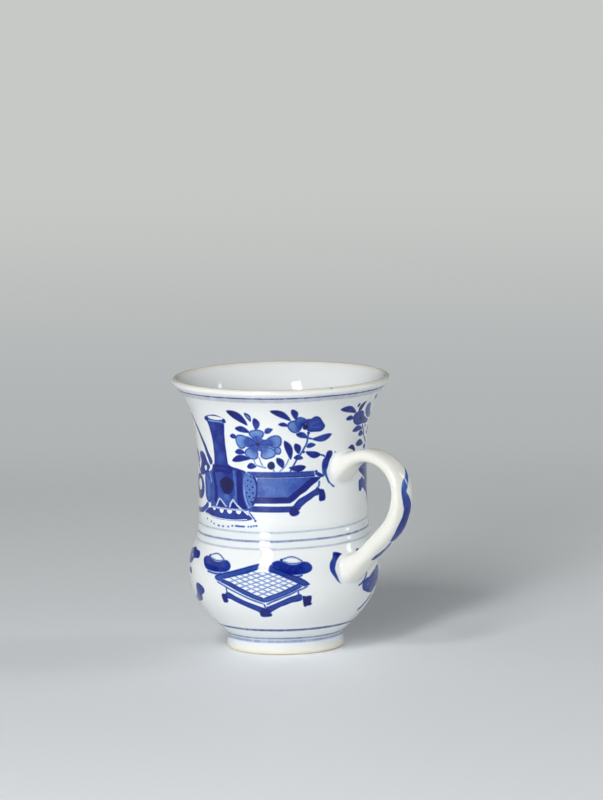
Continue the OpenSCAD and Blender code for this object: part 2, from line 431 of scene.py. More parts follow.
def leaf(x0, z0, x1, z1, width, tone, bend=0.08):
    """A leaf from its tip to its stalk: sides shaped as a blunted sine, fuller towards the tip,
    about a line that bends as a sine does, with a paler middle where the brush spread."""
    t = np.linspace(0, 1, LEAF_STEPS + 1)[:, None]
    start, end = np.array((x0, z0)), np.array((x1, z1))
    across = np.array((z0 - z1, x1 - x0))
    long = np.linalg.norm(across)
    spine = start + (end - start) * t + bend * across * np.sin(math.pi * t)
    fuller = 1 + LEAF_FULLER * np.cos(math.pi * t)
    half = width / 2 * np.sin(math.pi * t) ** LEAF_BLUNT * fuller
    side = half * across / long
    x, z = spine[LEAF_STEPS // 2 + 1]
    (wide, paler), (small, darker) = LEAF_SPOTS
    spots = ((x, z, width * wide, paler), (x0, z0, width * small, darker))
    return [Shape(np.vstack((spine - side, (spine + side)[-2:0:-1])), tone, spots)]


def leaves(rows):
    """Leaves, each given as tip, stalk, width and tone."""
    return [shape for row in rows for shape in leaf(*row)]


def oval(x, z, width, tone, height=None, turn=0.0, lobes=0.0, spots=()):
    """A dot or petal: an ellipse, if wanted with three shallow lobes."""
    angle = np.linspace(0, 2 * math.pi, OVAL_POINTS + 1)[:-1]
    r = 1 + lobes * np.cos(3 * angle + x)
    a = r * np.cos(angle) * width / 2
    b = r * np.sin(angle) * (height or width) / 2
    c, s = math.cos(math.radians(turn)), math.sin(math.radians(turn))
    return [Shape(np.stack((x + c * a - s * b, z + s * a + c * b), 1), tone, spots)]


def dots(rows, tone, height=None):
    """Dots of one tone, each given as its middle and its width."""
    return [shape for x, z, width in rows for shape in oval(x, z, width, tone, height)]


def petal(x, z, width, height, tone, heart, edge, turn, line):
    """A petal: a pale lobed oval inside a darker brush line, darker towards the flower's heart."""
    away = np.array((x, z)) - heart
    away /= np.linalg.norm(away)
    spots = tuple((*((x, z) + away * width * place), width * size, change)
                  for place, size, change in PETAL_SPOTS)
    outer, inner = PETAL_LOBES
    return (
        oval(x, z, width, edge, height, turn, outer)
        + oval(x, z, width - 2 * line, tone, height - 2 * line, turn, inner, spots)
    )


def moved(shapes, dx, dz=0.0, widen=1.0):
    """The shapes widened about x = 0 and then moved; a widening of -1 mirrors them."""
    return [
        Shape(outline * (widen, 1) + (dx, dz), tone,
              tuple((x * widen + dx, z + dz, size, change) for x, z, size, change in spots))
        for outline, tone, spots in shapes
    ]


def mirrored(shapes, about):
    """The shapes mirrored about an upright line."""
    return moved(shapes, 2 * about, 0, -1)


def toned(shape, points):
    """The tone of a shape at points inside it."""
    tone = np.full(points.shape[:-1], shape.tone)
    for x, z, size, change in shape.spots:
        tone += change * np.exp(-np.sum((points - (x, z)) ** 2, -1) / size**2)
    return tone


# Painting round the neck

VASE_FOOT_Z = 51


def vase_mouth():
    """Splayed mouth of the vase, with its opening left white."""
    lip = [(-28.8, 82.2), (-27.5, 82.9), (-26, 83.3), (-24, 83.7), (-22.5, 83.7), (-21, 83.3),
           (-20, 82.7), (-19.2, 82.4), (-19.1, 82.1), (-19.9, 81.2), (-27.8, 81.2)]
    return (
        blot(lip, FULL)
        + oval(-23.4, 82.7, 6.8, WHITE, 1.3)
        + panel([(-26.8, 81.8), (-20.6, 81.8), (-20.4, 81.2), (-27.1, 81.2)], PALE)
        + blot([(-28.8, 82.2), (-26.8, 82.8), (-27.3, 81.9), (-27.7, 81.3)], DARK)
        + blot([(-20, 82.6), (-19.4, 82.6), (-19.1, 82.1), (-19.9, 81.2)], DARK)
    )


def vase_neck():
    """Slender neck of the vase with lighter patches, a dark line down each side and a collar."""
    left = [(-27.8, 81.2), (-27.3, 80), (-26.9, 78), (-26.6, 76), (-26.3, 74), (-26.2, 72),
            (-26.1, 70), (-26.1, 68), (-26.3, 66)]
    right = [(-19.7, 66), (-20.2, 67), (-20.5, 69), (-20.7, 71), (-20.9, 73), (-20.9, 75),
             (-20.8, 77), (-20.5, 79), (-20.1, 81.1)]
    collar = [(-27.6, 65.6), (-26, 66.2), (-20, 66.4), (-18.3, 65.6), (-18.2, 64), (-20, 63.6),
              (-24, 63.8), (-26, 63.4), (-27.3, 64.2)]
    return (
        panel(left + right, FULL + 0.06, ((-23, 68.8, 2.2, -0.24), (-24.9, 72.4, 1.4, -0.16),
                                          (-22.3, 76, 1.5, -0.14), (-25, 79.2, 1.3, -0.1)))
        + stroke(left, 0.35, DARK)
        + stroke(right, 0.5, DARK)
        + blot(collar, DARK)
        + stroke([(-26.5, 64.9), (-23, 65.1), (-20, 65)], 0.3, FULL)
    )


def vase_body():
    """Round body of the vase in painted gores, between two side panels."""
    body = [(-27.6, 65), (-20, 66.4), (-18, 65.6), (-16, 65.3), (-14, 64.8), (-12.9, 64.2),
            (-13.5, 61), (-13.8, 58), (-13.4, 55.5), (-12.2, 52.4), (-13.5, 51.2), (-28.4, 51.2),
            (-27.6, 54), (-27.4, 58), (-28, 61.5)]
    left_panel = [(-33, 62), (-31.5, 63.3), (-30, 63.5), (-28.7, 61), (-28.2, 58), (-28.5, 55),
                  (-29.5, 53), (-31, 52.8), (-32.5, 54), (-33, 57)]
    right_gore = [(-16.2, 64.8), (-14.3, 64.4), (-14.1, 62), (-14.2, 59), (-14, 56), (-13.2, 53.5),
                  (-12.5, 52), (-14.5, 51.9), (-15.8, 53), (-16.3, 55), (-16.5, 58), (-16.4, 61)]
    return (
        washed(left_panel, HALF, DARK)
        + stroke([(-28.9, 64), (-28, 61), (-27.7, 58), (-28.2, 54.5), (-28.9, 52)], 1.3, HALF)
        + stroke([(-30.4, 63), (-29.1, 61.5), (-28.6, 59.3)], 0.5, PALE)
        + stroke([(-31.6, 61.5), (-30.9, 58), (-31.2, 54.5)], 0.4, LIGHT)
        + stroke([(-30.2, 60.8), (-29.8, 57.5), (-30.2, 54.4)], 0.35, LIGHT)
        + blot(body, HALF, ((-20.6, 59.4, 4, 0.26), (-22.5, 55, 2, -0.12), (-19.5, 64.5, 3, 0.16)))
        + stroke([(-27.4, 64), (-26.7, 61), (-26, 58), (-26, 55.5), (-26.7, 53)], 1.6, DARK)
        + blot([(-21.9, 56.2), (-20, 56.2), (-19.6, 54.6), (-21.8, 54.4)], 0.5)
        + stroke([(-17.5, 65), (-17.3, 62), (-17, 59), (-16.8, 57), (-17.4, 54.6)], 1, 0.5)
        + blot(right_gore, DARK)
        + stroke([(-13.3, 63.7), (-13.6, 61), (-13.7, 58.5), (-13.4, 56), (-12.8, 54),
                  (-12, 52.5)], 0.35, PALE)
        + oval(-20.7, 59.5, 6.3, 1.0, 6, 0, 0.06, ((-20.7, 59.5, 2.6, 0.12),))
        + stroke([(-20.2, 66.8), (-18.8, 65.9), (-16, 65.3), (-14, 64.8), (-12.7, 64.3)],
                 0.45, DARK)
    )


def scallop(x, width, height):
    """White half oval that hangs from the line along the vase's foot."""
    angle = np.linspace(0, math.pi, 10)
    side, drop = width / 2 * np.cos(angle), height * np.sin(angle)
    return panel(np.stack((x + side, VASE_FOOT_Z - drop), 1), WHITE)


def vase_foot():
    """Pointed panels, white scallops and the spreading foot of the vase."""
    foot = [(-33.5, 49), (-31, 50.5), (-28, 51), (-22, 51), (-14, 51), (-11.8, 49.5),
            (-10.8, 48.6), (-11.5, 48.2), (-14, 47.8), (-18, 47.6), (-22, 47.6), (-26, 47.7),
            (-30, 48.2), (-33, 48.8)]
    shapes = (
        panel([(-26.4, 51.9), (-24.6, 54.9), (-23.6, 54.7), (-20.7, 52.1)], OUTLINE)
        + panel([(-25.7, 51.9), (-24.3, 54.3), (-23.8, 54.2), (-21.3, 51.9)], FULL + 0.04)
        + panel([(-19.9, 52), (-19.4, 53.6), (-18.3, 55), (-17.6, 54.8), (-16.4, 53.2),
                 (-14.2, 51.6)], OUTLINE)
        + panel([(-19.3, 51.8), (-18.8, 53.4), (-18.1, 54.1), (-15.6, 51.8)], DARK)
        + blot(foot, 0.72, ((-30, 49.5, 3, 0.14), (-14, 49, 3, 0.08)))
        + panel([(-28.4, 51.6), (-13.6, 51.6), (-13.4, 51), (-28.4, 51)], 0.14)
        + stroke([(-28.4, 50.9), (-20, 50.9), (-13.4, 50.8)], 0.25, DARK)
        + scallop(-27.3, 1.6, 0.7) + scallop(-23.4, 2, 1.3) + scallop(-19.7, 2.3, 1.2)
        + scallop(-15.9, 2.1, 1.1)
        + stroke([(-32.4, 48.8), (-29, 48.1), (-24, 47.75), (-18, 47.75), (-12.5, 48.3)],
                 0.22, WHITE)
        + stroke([(-13.9, 51), (-13, 50.5), (-12.2, 49.7)], 0.5, WHITE)
        + stroke([(-12, 50.9), (-10.8, 49.6), (-9.7, 48.1)], 0.3, HALF)
        + oval(-9.6, 47.9, 0.55, FULL)
    )
    beads = [(-32, 46.8, 0.6), (-29.3, 46.1, 0.6), (-27.6, 45.6, 0.6), (-25, 45.2, 1),
             (-22.8, 45.2, 0.9), (-20.4, 45.3, 0.6), (-18.6, 45.7, 0.6), (-12.2, 45.8, 0.5),
             (-11.2, 45.9, 0.5), (-10.2, 46.1, 0.5), (-9.3, 46.2, 0.7)]
    shapes += dots(beads, HALF, 0.42)
    return shapes + stroke([(-17.5, 45.8), (-15.5, 45.75), (-13.5, 45.8)], 0.4, HALF)


def dotted_end():
    """Rounded end of the tray table beside the vase, with dots on a pale wash."""
    outline = [(-13.3, 64), (-11.4, 63.9), (-10.2, 63.3), (-9.2, 61.5), (-8.8, 59), (-9, 57),
               (-9.6, 55), (-10.6, 53.2), (-11.6, 52.4), (-12.6, 54.2), (-13.3, 57), (-13.5, 60.5)]
    edge = [(-10.2, 63.4), (-9.2, 61.5), (-8.8, 59), (-9, 57), (-9.6, 55), (-10.8, 53)]
    specks = [(-12.1, 61.8, 0.7), (-10.9, 61.4, 0.6), (-12.3, 59.8, 0.6), (-10.4, 59.5, 0.8),
              (-11.5, 58.6, 0.6), (-12.5, 57.5, 0.6), (-10.3, 57.4, 0.75), (-11.7, 56.2, 0.75),
              (-10, 55.9, 0.6), (-10.9, 54.4, 0.8), (-11, 63.1, 0.6)]
    return (
        blot(outline, LIGHT + 0.06)
        + stroke(edge, 0.75, DARK)
        + stroke([(-12.9, 58), (-12.7, 56), (-12.3, 54.5), (-11.5, 53.2)], 0.25, FULL)
        + dots(specks, DARK)
    )


def tray_table():
    """Low table seen from its corner: top, apron, two rails and its middle foot."""
    wash = [(-8.7, 62.7), (10.5, 62.7), (8, 61), (6, 59.3), (4, 57.8), (1.9, 56.1), (-8.7, 56.1)]
    band_upper = [(1.9, 56.1), (4, 57.8), (6, 59.3), (8, 61), (10.2, 62.6), (13.8, 62.4)]
    band_lower = [(13, 61.9), (12, 61), (11, 60.4), (10, 59.7), (8, 57.9), (6, 56.8), (4, 55),
                  (2.5, 54.1)]
    rail_upper = [(-11, 52.7), (3, 52.7), (4, 53.3), (5, 54.5), (6, 55.3), (8, 56.3), (10, 57.4),
                  (11.8, 58.4), (12.2, 59.2)]
    rail_lower = [(12.7, 56.6), (11, 56.2), (10, 55.5), (9, 54.9), (8, 54.3), (7, 53.5), (6, 52.6),
                  (5.5, 51.8), (3, 51.2), (-11, 51.2)]
    middle_foot = [(2.2, 52), (2.2, 50.7), (2.6, 50), (3.3, 49.6), (4.5, 49.7), (5.4, 50.3),
                   (5.6, 50.9), (5.1, 51.4), (5.5, 52), (3.5, 52.6)]
    return (
        panel([(-12.4, 64.5), (11, 64.5), (11.4, 63.3), (-10, 63.3)], HALF + 0.08)
        + stroke([(-12.4, 64.5), (-2, 64.55), (11.2, 64.5)], 0.3, FULL)
        + stroke([(-9.6, 63.05), (0, 63.05), (11.4, 63.05)], 0.45, DARK)
        + oval(11.8, 64.4, 0.9, FULL)
        + blot([(11.4, 63.8), (12.5, 64.1), (13.5, 63.6), (14.8, 63), (14.8, 62.6), (13, 62.6)],
               FULL)
        + panel(wash, LIGHT + 0.12, ((8, 62, 3, 0.14), (3.5, 58.5, 2, 0.12), (-3, 60, 2.5, -0.05),
                                     (-7, 57.5, 2, 0.08)))
        + stroke([(-8.5, 62.2), (-8.6, 59), (-8.6, 56.3)], 0.35, HALF)
        + panel([(-9.6, 56.1)] + band_upper + band_lower + [(-9.8, 54)], DARK)
        + panel([(-11, 52.7), (-11, 51.2)] + rail_lower[::-1][1:] + rail_upper[::-1][:-1], FULL)
        + stroke(rail_upper, 0.3, DARK)
        + stroke(rail_lower, 0.3, DARK)
        + panel([(-12, 52.4), (-10.6, 52.4), (-10.4, 51), (-12, 51)], HALF)
        + blot(middle_foot, DARK)
    )


def tray_table_right_leg():
    """Right leg and foot of the tray table."""
    foot = [(12.3, 59), (13, 58.3), (14, 58.2), (14.6, 57.8), (15.1, 56.3), (15.1, 54.8),
            (14.8, 54.4), (13.2, 54.2), (12.8, 54.8), (12.8, 56.2)]
    return stroke([(12.9, 61.2), (12.8, 60), (12.6, 59)], 0.6, 0.5) + blot(foot, DARK)


def first_spray():
    """Flower over the table with five large petals and a small one, its leaves and seed head."""
    heart = (-8, 74.3)
    shapes = []
    for x, z, width, height, tone, turn in (
        (-1.5, 72.2, 2.4, 2.6, PALE, 30), (-8.3, 77.8, 5, 3.4, 0.33, 0),
        (-13.8, 75.2, 4.6, 4.8, 0.3, 0), (-2.5, 75.3, 5.2, 4.4, 0.42, 10),
        (-10.3, 71.2, 4.8, 4.2, 0.32, -15), (-4.7, 71.3, 5.2, 4, 0.3, 15),
    ):
        shapes += petal(x, z, width, height, tone, heart, HALF + 0.1, turn, 0.35)
    star = [(-12, 76.9), (-10, 76.5), (-8.3, 77.3), (-6, 76), (-4, 75.9), (-2.8, 74.2), (-5, 73.3),
            (-6.4, 71.8), (-8, 72.2), (-9, 71.6), (-11, 73), (-12.8, 74)]
    shapes += blot(star, HALF)
    for x, z in ((-11.9, 76.9), (-8.5, 77.6), (-4.6, 76.1), (-2.6, 74.2), (-6.4, 71),
                 (-8.6, 71), (-11.6, 73.6)):
        bent = ((x + heart[0]) / 2, (z + heart[1]) / 2 + 0.15)
        shapes += stroke([heart, bent, (x, z)], (0.3, 0.45, 0.25), FULL)
    shapes += oval(*heart, 1.3, DARKEST)
    shapes += leaves((
        (-17.7, 85.8, -11.1, 80.9, 2.7, 0.98), (-8.5, 83.6, -8.4, 79.3, 2.1, 0.85),
        (-5.5, 78.4, -2.9, 79.7, 1.7, 0.8), (-15.8, 79.6, -10.6, 78.4, 1.9, 0.9),
        (-18.1, 76.8, -15.4, 76.4, 1.5, 0.85), (-16.6, 71.3, -12.7, 71.2, 1.7, 0.85),
        (-18, 68.2, -10.8, 69.3, 2.1, 0.92), (-12.2, 66.4, -8.8, 66.7, 1.9, 0.85),
        (-1.8, 69.6, 0.4, 66, 2.1, 0.95), (0.9, 75.6, 2.9, 69, 2.2, 0.95),
        (-11.5, 85.4, -9.9, 82.3, 1.3, DARK), (-11.3, 84.8, -10.1, 82.9, 0.6, LIGHT),
    ))
    shapes += oval(-3.7, 67, 2.4, DARKEST, 2.6, 0, 0.04)
    for stem in ([(-3.3, 66), (-2.9, 65.4), (-2.6, 64.8)],
                 [(-9.8, 69.4), (-9, 67.3), (-7.5, 66.7), (-5.3, 66.2)],
                 [(-7.9, 70), (-7.2, 68), (-6.6, 66.8)],
                 [(2.3, 69.4), (1.5, 67.5), (0.2, 65.9), (-1, 64.9)]):
        shapes += stroke(stem, 0.28, LIGHT)
    return shapes


def second_spray():
    """Flower that opens to the right, on a stem with leaves in pairs."""
    heart = (7.8, 80.2)
    right_petal = [(8, 82.6), (9.5, 82.9), (10.3, 83.5), (11.2, 83.7), (12.3, 83.2), (13.2, 82),
                   (14, 80.9), (14.5, 80), (14, 79), (13, 78.4), (11, 78.4), (9.3, 78.5),
                   (8.4, 79.2)]
    shapes = (
        petal(4.4, 80.6, 4.8, 4.4, 0.45, heart, FULL, 0, 0.35)
        + petal(6.1, 82, 3.8, 3.6, HALF, heart, FULL, 0, 0.3)
        + washed(right_petal, FULL - 0.04, DARK)
        + stroke([(9.2, 80.8), (11, 81.6), (12.6, 81.8)], 0.5, HALF)
        + stroke([(9.4, 80), (11.4, 79.8), (13, 79.6)], 0.45, HALF)
        + oval(*heart, 1.8, DARKEST)
        + oval(8.9, 78, 0.8, DARK)
    )
    stems = ([(8.9, 78), (8.7, 76.6), (8.5, 75), (8.2, 74), (7.5, 72.8), (6.9, 71.7), (5.4, 69.6),
              (4, 67.2), (3, 65.4), (2.6, 64.7)],
             [(8.2, 71.5), (10.6, 71), (13.5, 70.1), (14.6, 69.7), (15.3, 69.2)],
             [(8.6, 76.4), (9.6, 76), (10.4, 75.9)])
    for stem in stems:
        shapes += stroke(stem, 0.35, FULL)
    shapes += leaves((
        (-3.4, 86.3, 3, 82.5, 2.0, 0.95), (3.2, 86.7, 4.6, 82.9, 1.8, 0.95),
        (-1, 81.4, 2.3, 80.7, 1.2, 0.9), (4.7, 77.8, 8.7, 76.3, 1.8, 0.85),
        (17.5, 77, 10.1, 75.8, 2.1, 0.8), (8.3, 73.2, 11.5, 73.7, 1.5, 0.85),
        (13.5, 70.1, 8.0, 71.5, 2.1, 0.9), (4.5, 74.5, 5.6, 70.9, 2.1, 0.95),
        (4, 69.6, 7.1, 69.3, 1.6, 0.9), (8.1, 66.3, 2.3, 66.2, 2.2, 0.95),
    ))
    return shapes + oval(7.3, 71.5, 0.7, DARK)


def third_spray():
    """Spray between the handle's upper seat and the right edge."""
    flower = [(26.4, 82.4), (27.5, 83.2), (29.5, 83.5), (31, 83.3), (32.3, 82.5), (33, 81.4),
              (34.5, 80.6), (36, 80), (38, 79.3), (36, 78.6), (32.5, 78.9), (31.5, 78.7),
              (29.5, 78.7), (28, 79.3), (26.8, 80.3)]
    right = [(33, 85.3), (34.2, 85.7), (35.5, 85.2), (36.5, 84), (37.2, 83), (38.5, 82), (40.5, 81),
             (39.5, 80.2), (37, 80.4), (35, 81.3), (33.6, 82.6), (32.8, 84)]
    seed = [(24.8, 70.3), (26, 71.5), (27.5, 72), (28.6, 71.3), (29.4, 70), (27.8, 69.4),
            (26, 69.2)]
    stem = [(33, 78.5), (34, 77), (35, 75.8), (36, 74), (37.5, 72.5), (39, 71.3)]
    shapes = washed(flower, FULL - 0.06, DARK) + washed(right, HALF, DARK)
    shapes += oval(31.2, 80.8, 1.5, DARKEST)
    shapes += blot(seed, DARK)
    shapes += stroke(stem, 0.5, FULL)
    shapes += leaves((
        (19.4, 85.4, 27.1, 83.3, 2.0, 0.9), (28.4, 83.3, 31, 86.8, 2.0, 0.95),
        (22.8, 81.6, 26.6, 81.3, 1.5, 0.9), (27, 76.8, 33.5, 76.9, 1.8, 0.85),
        (31, 75.2, 34.8, 74.9, 1.8, 0.9), (29.7, 71.9, 35.5, 71.4, 2.1, 0.95),
        (35.8, 70.2, 38.5, 69.9, 1.4, 0.8), (36.5, 87.8, 40, 86.3, 1.4, 0.6),
        (38.2, 75.2, 39.8, 74.4, 1.0, 0.8),
    ))
    shapes += oval(27.3, 85.9, 1.0, DARK, 1.2) + oval(40, 76.2, 1.6, FULL, 1.4)
    return shapes + oval(36, 77.5, 0.9, FULL)


def upper_crescent():
    """Curled cloud that frames the handle's upper seat."""
    outline = [(16.3, 71.1), (17.6, 71.1), (18.1, 70.3), (17.6, 69), (17, 67.8), (16.5, 66.3),
               (16, 65.3), (15.7, 64.3), (15.8, 63.2), (16.2, 62), (16.8, 60.6), (17.5, 59.7),
               (16.5, 60.3), (15.8, 61.7), (15.2, 62.8), (14.4, 63.3), (14.1, 65), (14.1, 67),
               (14.5, 68.2), (15.4, 69.4), (15.8, 70.4)]
    return (
        blot(outline, 0.74, ((17, 70.2, 1.7, 0.3), (15.4, 66.5, 1, 0.1), (14.9, 63.2, 1.5, -0.16)))
        + stroke([(17.4, 59.8), (18.2, 59), (19, 58.5)], 0.4, HALF)
        + oval(19.3, 70.4, 0.6, LIGHT)
    )


def second_table_corner():
    """Corner and foot of the second table, beyond the handle."""
    corner = [(32.8, 62.5), (34, 62.8), (37, 62.8), (43, 62), (42, 60.6), (38, 59.9), (36, 60.2),
              (35, 61), (33, 62)]
    foot = [(32.4, 58.9), (33.5, 59.1), (35, 59.8), (36.5, 59), (40, 57.2), (40, 55), (36, 56.8),
            (34.8, 57), (34.8, 56), (33.8, 55.3), (32.8, 55.4), (32.3, 56.2)]
    return (
        blot(corner, 0.86) + stroke([(36, 60.4), (38, 59.6), (40, 58.7)], 0.5, PALE)
        + blot(foot, 0.82) + leaf(26.5, 59.8, 29.9, 61.4, 0.8, FULL)
    )


def ribboned_jar():
    """Jar, rod and fluttering ribbons at the left edge."""
    rod = [(-46, 81.3), (-42.6, 81.6), (-40, 81.3), (-38, 79), (-36, 77), (-34, 74.5), (-32, 72),
           (-30.5, 69.5), (-29, 67.5), (-28.2, 66)]
    knot = [(-37.5, 69), (-35.5, 69.6), (-33.5, 69.3), (-32, 68), (-31, 66.5), (-29.4, 65),
            (-31, 63.4), (-33, 62.3), (-36, 61.5), (-37.5, 62.5), (-37, 64), (-36, 66), (-37, 68)]
    return (
        stroke(rod, (1, 0.9, 1.2, 1.9), DARKEST) + stroke(rod[5:], (0.2, 0.9), HALF)
        + stroke([(-45, 73.5), (-43, 69.5), (-40.2, 65.7), (-36.6, 61.1)], (0.5, 0.8), DARKEST)
        + blot(knot, 0.8, ((-34.5, 66, 2, 0.14), (-31.5, 65, 1.5, -0.16)))
        + oval(-32.4, 64.3, 1.8, WHITE)
        + stroke([(-46, 69), (-41, 68.8), (-39, 67), (-38.3, 65.5)], 1.3, FULL)
        + oval(-38.8, 57.2, 9.6, DARK, 8.6) + oval(-38.4, 57.9, 4, WHITE)
        + stroke([(-46, 49), (-42, 48.8), (-38, 49), (-35, 49.7), (-32.5, 51), (-31, 52.3)],
                 1.5, 0.72)
    )


# Painting round the bowl

BOARD_CELLS = 7
BOARD_LINE = 0.17
BOARD_TONE = 0.46


def lidded_box(x):
    """Round box with a domed lid left white; x is the middle of its foot."""
    body = [(-7.6, 33.8), (-6.3, 34.5), (-4.8, 34.6), (-3, 33.9), (-0.6, 33.2), (1.6, 33.5),
            (3, 34.1), (4.6, 33.9), (5.6, 33.1), (6, 32.2), (5.6, 31.2), (4.6, 30.6), (3, 30.2),
            (1, 30), (-1.6, 30), (-4, 30.2), (-5.4, 30.6), (-6.6, 31.6), (-7.2, 32.6)]
    lid = [(-4.6, 34.8), (-3, 35.6), (-1, 36), (0.8, 35.6), (2.2, 34.8), (2.9, 34.3), (1.4, 33.7),
           (-0.8, 33.6), (-2.8, 34)]
    shapes = blot(body, 0.8, ((-1, 31.4, 3, 0.06), (4.5, 32.5, 1.2, -0.1)))
    shapes += washed(lid, OUTLINE, FULL, 0.22)
    shapes += [Shape(spread(through(lid, closed=True), -0.6), WHITE)]
    shapes += oval(-4.4, 34.9, 0.8, DARK)
    shapes += stroke([(-4.6, 29.7), (-1, 29.3), (1.6, 29.4), (2.6, 29.8)], 0.35, FULL)
    return moved(shapes, x)


def board_lines(corners):
    """Thin ruled lines of a board: straight lines between the divided sides of a diamond."""
    left, top, right, bottom = (np.array(c, float) for c in corners)
    shapes = []
    for i in range(1, BOARD_CELLS):
        t = i / BOARD_CELLS
        for a, b in (((left + (top - left) * t), (bottom + (right - bottom) * t)),
                     ((top + (right - top) * t), (left + (bottom - left) * t))):
            across = np.array((b[1] - a[1], a[0] - b[0])) * BOARD_LINE / 2 / np.linalg.norm(b - a)
            shapes += panel((a - across, b - across, b + across, a + across), BOARD_TONE)
    return shapes


def gaming_table():
    """Square table turned to its corner, with a ruled board in its top."""
    back_left_upper = [(-24.5, 28.8), (-22, 29.6), (-18, 30.7), (-14, 31.9), (-10, 33.1),
                       (-6.7, 33.9)]
    back_left_lower = [(-22, 28), (-19, 28.8), (-16, 29.7), (-13, 30.5), (-10, 31.6), (-6.9, 32.5)]
    back_right_upper = [(-6.7, 33.9), (-4.4, 33.1), (-2, 31.7), (4, 29.3), (6, 28.3), (7.5, 27.3),
                        (8.6, 26.3)]
    back_right_lower = [(-6.9, 32.5), (-4.8, 31.3), (-3, 30.7), (-1, 29.9), (1, 28.9), (3, 28),
                        (5, 26.9), (6.5, 26.2), (7.8, 26.1)]
    front_left_upper = [(-22.5, 27.6), (-19, 26.6), (-16, 25.3), (-13, 24), (-10, 22.7),
                        (-7.2, 21.7)]
    front_left_lower = [(-23.3, 26.9), (-20, 25.8), (-17, 24.5), (-14, 23.1), (-11, 21.9),
                        (-8, 20.8), (-6.6, 20.5)]
    front_right_upper = [(-7.1, 21.6), (-5, 22.5), (-3, 23.2), (-1, 24), (1, 24.9), (3, 25.9),
                         (5, 26.8)]
    front_right_lower = [(-6.6, 20.5), (-4, 21.4), (-2, 22.2), (0, 23), (2, 23.9), (4, 24.9),
                         (6, 26)]
    shapes = board_lines([(-21.5, 27.8), (-6.8, 32.6), (5.2, 27.1), (-7, 21.8)])
    shapes += panel([(-25.4, 27.6), (-24.5, 28.8), (-22, 28), (-22.5, 27.6), (-23.3, 26.9)], HALF)
    for upper, lower, tone in (
        (back_left_upper, back_left_lower, HALF + 0.05),
        (back_right_upper, back_right_lower, FULL - 0.05),
        (front_left_upper, front_left_lower, HALF + 0.05),
        (front_right_upper, front_right_lower, HALF),
    ):
        shapes += panel(upper + lower[::-1], tone)
        shapes += stroke(upper, 0.3, DARK) + stroke(lower, 0.3, DARK)
    shapes += stroke([(-25.7, 27.6), (-25, 28.5), (-23.5, 29.1)], 0.7, FULL)
    shapes += stroke([(-25.6, 27.7), (-24.6, 27.3), (-23, 27)], 0.4, FULL)
    for line in (
        [(-24.8, 26.6), (-22, 25.5), (-19, 24.2), (-16, 23), (-13, 21.7), (-10, 20.6),
         (-7.5, 19.8)],
        [(-6.3, 19.5), (-4, 20.7), (-2, 21.5), (0, 22.4), (2, 23.2), (4, 24.2), (5.4, 24.9)],
        [(8, 25.9), (6.6, 25.2), (5, 24.5)],
        [(-21, 25.2), (-20.9, 24), (-20.8, 23)],
        [(4.6, 24.8), (4.7, 24), (4.8, 23)],
    ):
        shapes += stroke(line, 0.35, HALF)
    return shapes + gaming_table_legs()


def gaming_table_legs():
    """Lower rails and the three feet that show."""
    left_upper = [(-21.7, 22.4), (-20.8, 23), (-19.8, 22.9), (-18, 22), (-16, 21.1), (-14, 20.3),
                  (-12, 19.6), (-10, 18.9), (-8, 18.2), (-6.8, 18)]
    left_lower = [(-20.8, 21.1), (-19.8, 21.2), (-18, 20.4), (-16, 19.6), (-14, 18.8), (-12, 18),
                  (-10, 17.2), (-9, 16.7), (-7, 16.6)]
    right_upper = [(-6.8, 18), (-6, 18.5), (-4, 19.3), (-2, 20.2), (0, 21.1), (2, 22), (4, 22.6),
                   (5, 23), (6, 22.5)]
    right_lower = [(-7, 16.6), (-5.2, 17), (-3.5, 17.9), (-1.5, 19), (0.5, 19.7), (2.5, 20.5),
                   (4.5, 20.8), (6, 21.2)]
    shapes = []
    for upper, lower in ((left_upper, left_lower), (right_upper, right_lower)):
        shapes += panel(upper + lower[::-1], FULL - 0.05)
        shapes += stroke(upper, 0.3, DARK) + stroke(lower, 0.35, DARK)
    left_foot = [(-23.3, 22.1), (-23.2, 19.6), (-22.8, 19.4), (-21.8, 19.5), (-21.1, 20),
                 (-21.2, 21), (-20.5, 21.3), (-21.7, 22.4)]
    front_foot = [(-9, 16.9), (-9.2, 16), (-9, 15.2), (-8.3, 14.9), (-6.5, 15), (-5, 15.3),
                  (-4.9, 16), (-5.4, 16.5), (-4.7, 17), (-7, 18.1)]
    right_foot = [(6.2, 22.3), (7.5, 22.2), (8.8, 22.4), (9.3, 22), (9.3, 20.6), (9.2, 19.9),
                  (9.7, 19.5), (9, 19), (8, 18.9), (7.2, 18.5), (6.8, 19.3), (6.5, 20.8)]
    shapes += blot(left_foot, DARK) + blot(front_foot, DARK) + blot(right_foot, 1.0)
    return shapes + stroke([(-7.3, 19.8), (-7, 19), (-6.7, 18.3)], 0.35, FULL)


def lower_crescent():
    """Curled cloud that frames the handle's lower seat."""
    outline = [(18.4, 36.2), (19.5, 36.3), (20.8, 36), (22.2, 35.3), (21.3, 35), (20, 34.4),
               (19, 33.5), (18.4, 32.3), (18, 31.2), (18.1, 30), (18.5, 28.8), (19.2, 27.4),
               (20.4, 26.1), (21.2, 25.5), (20, 26), (18.9, 26.8), (18, 28), (17, 29.3),
               (16.3, 30.6), (16.2, 32), (16.6, 33.2), (17.4, 34.2), (18, 35)]
    head, tail = (20.3, 35.5, 1.7, 0.28), (17.6, 29.5, 2.6, -0.08)
    return blot(outline, 0.72, (head, tail)) + stroke(
        [(20.6, 25.9), (21.8, 25.2), (22.8, 24.8)], 0.35, HALF)


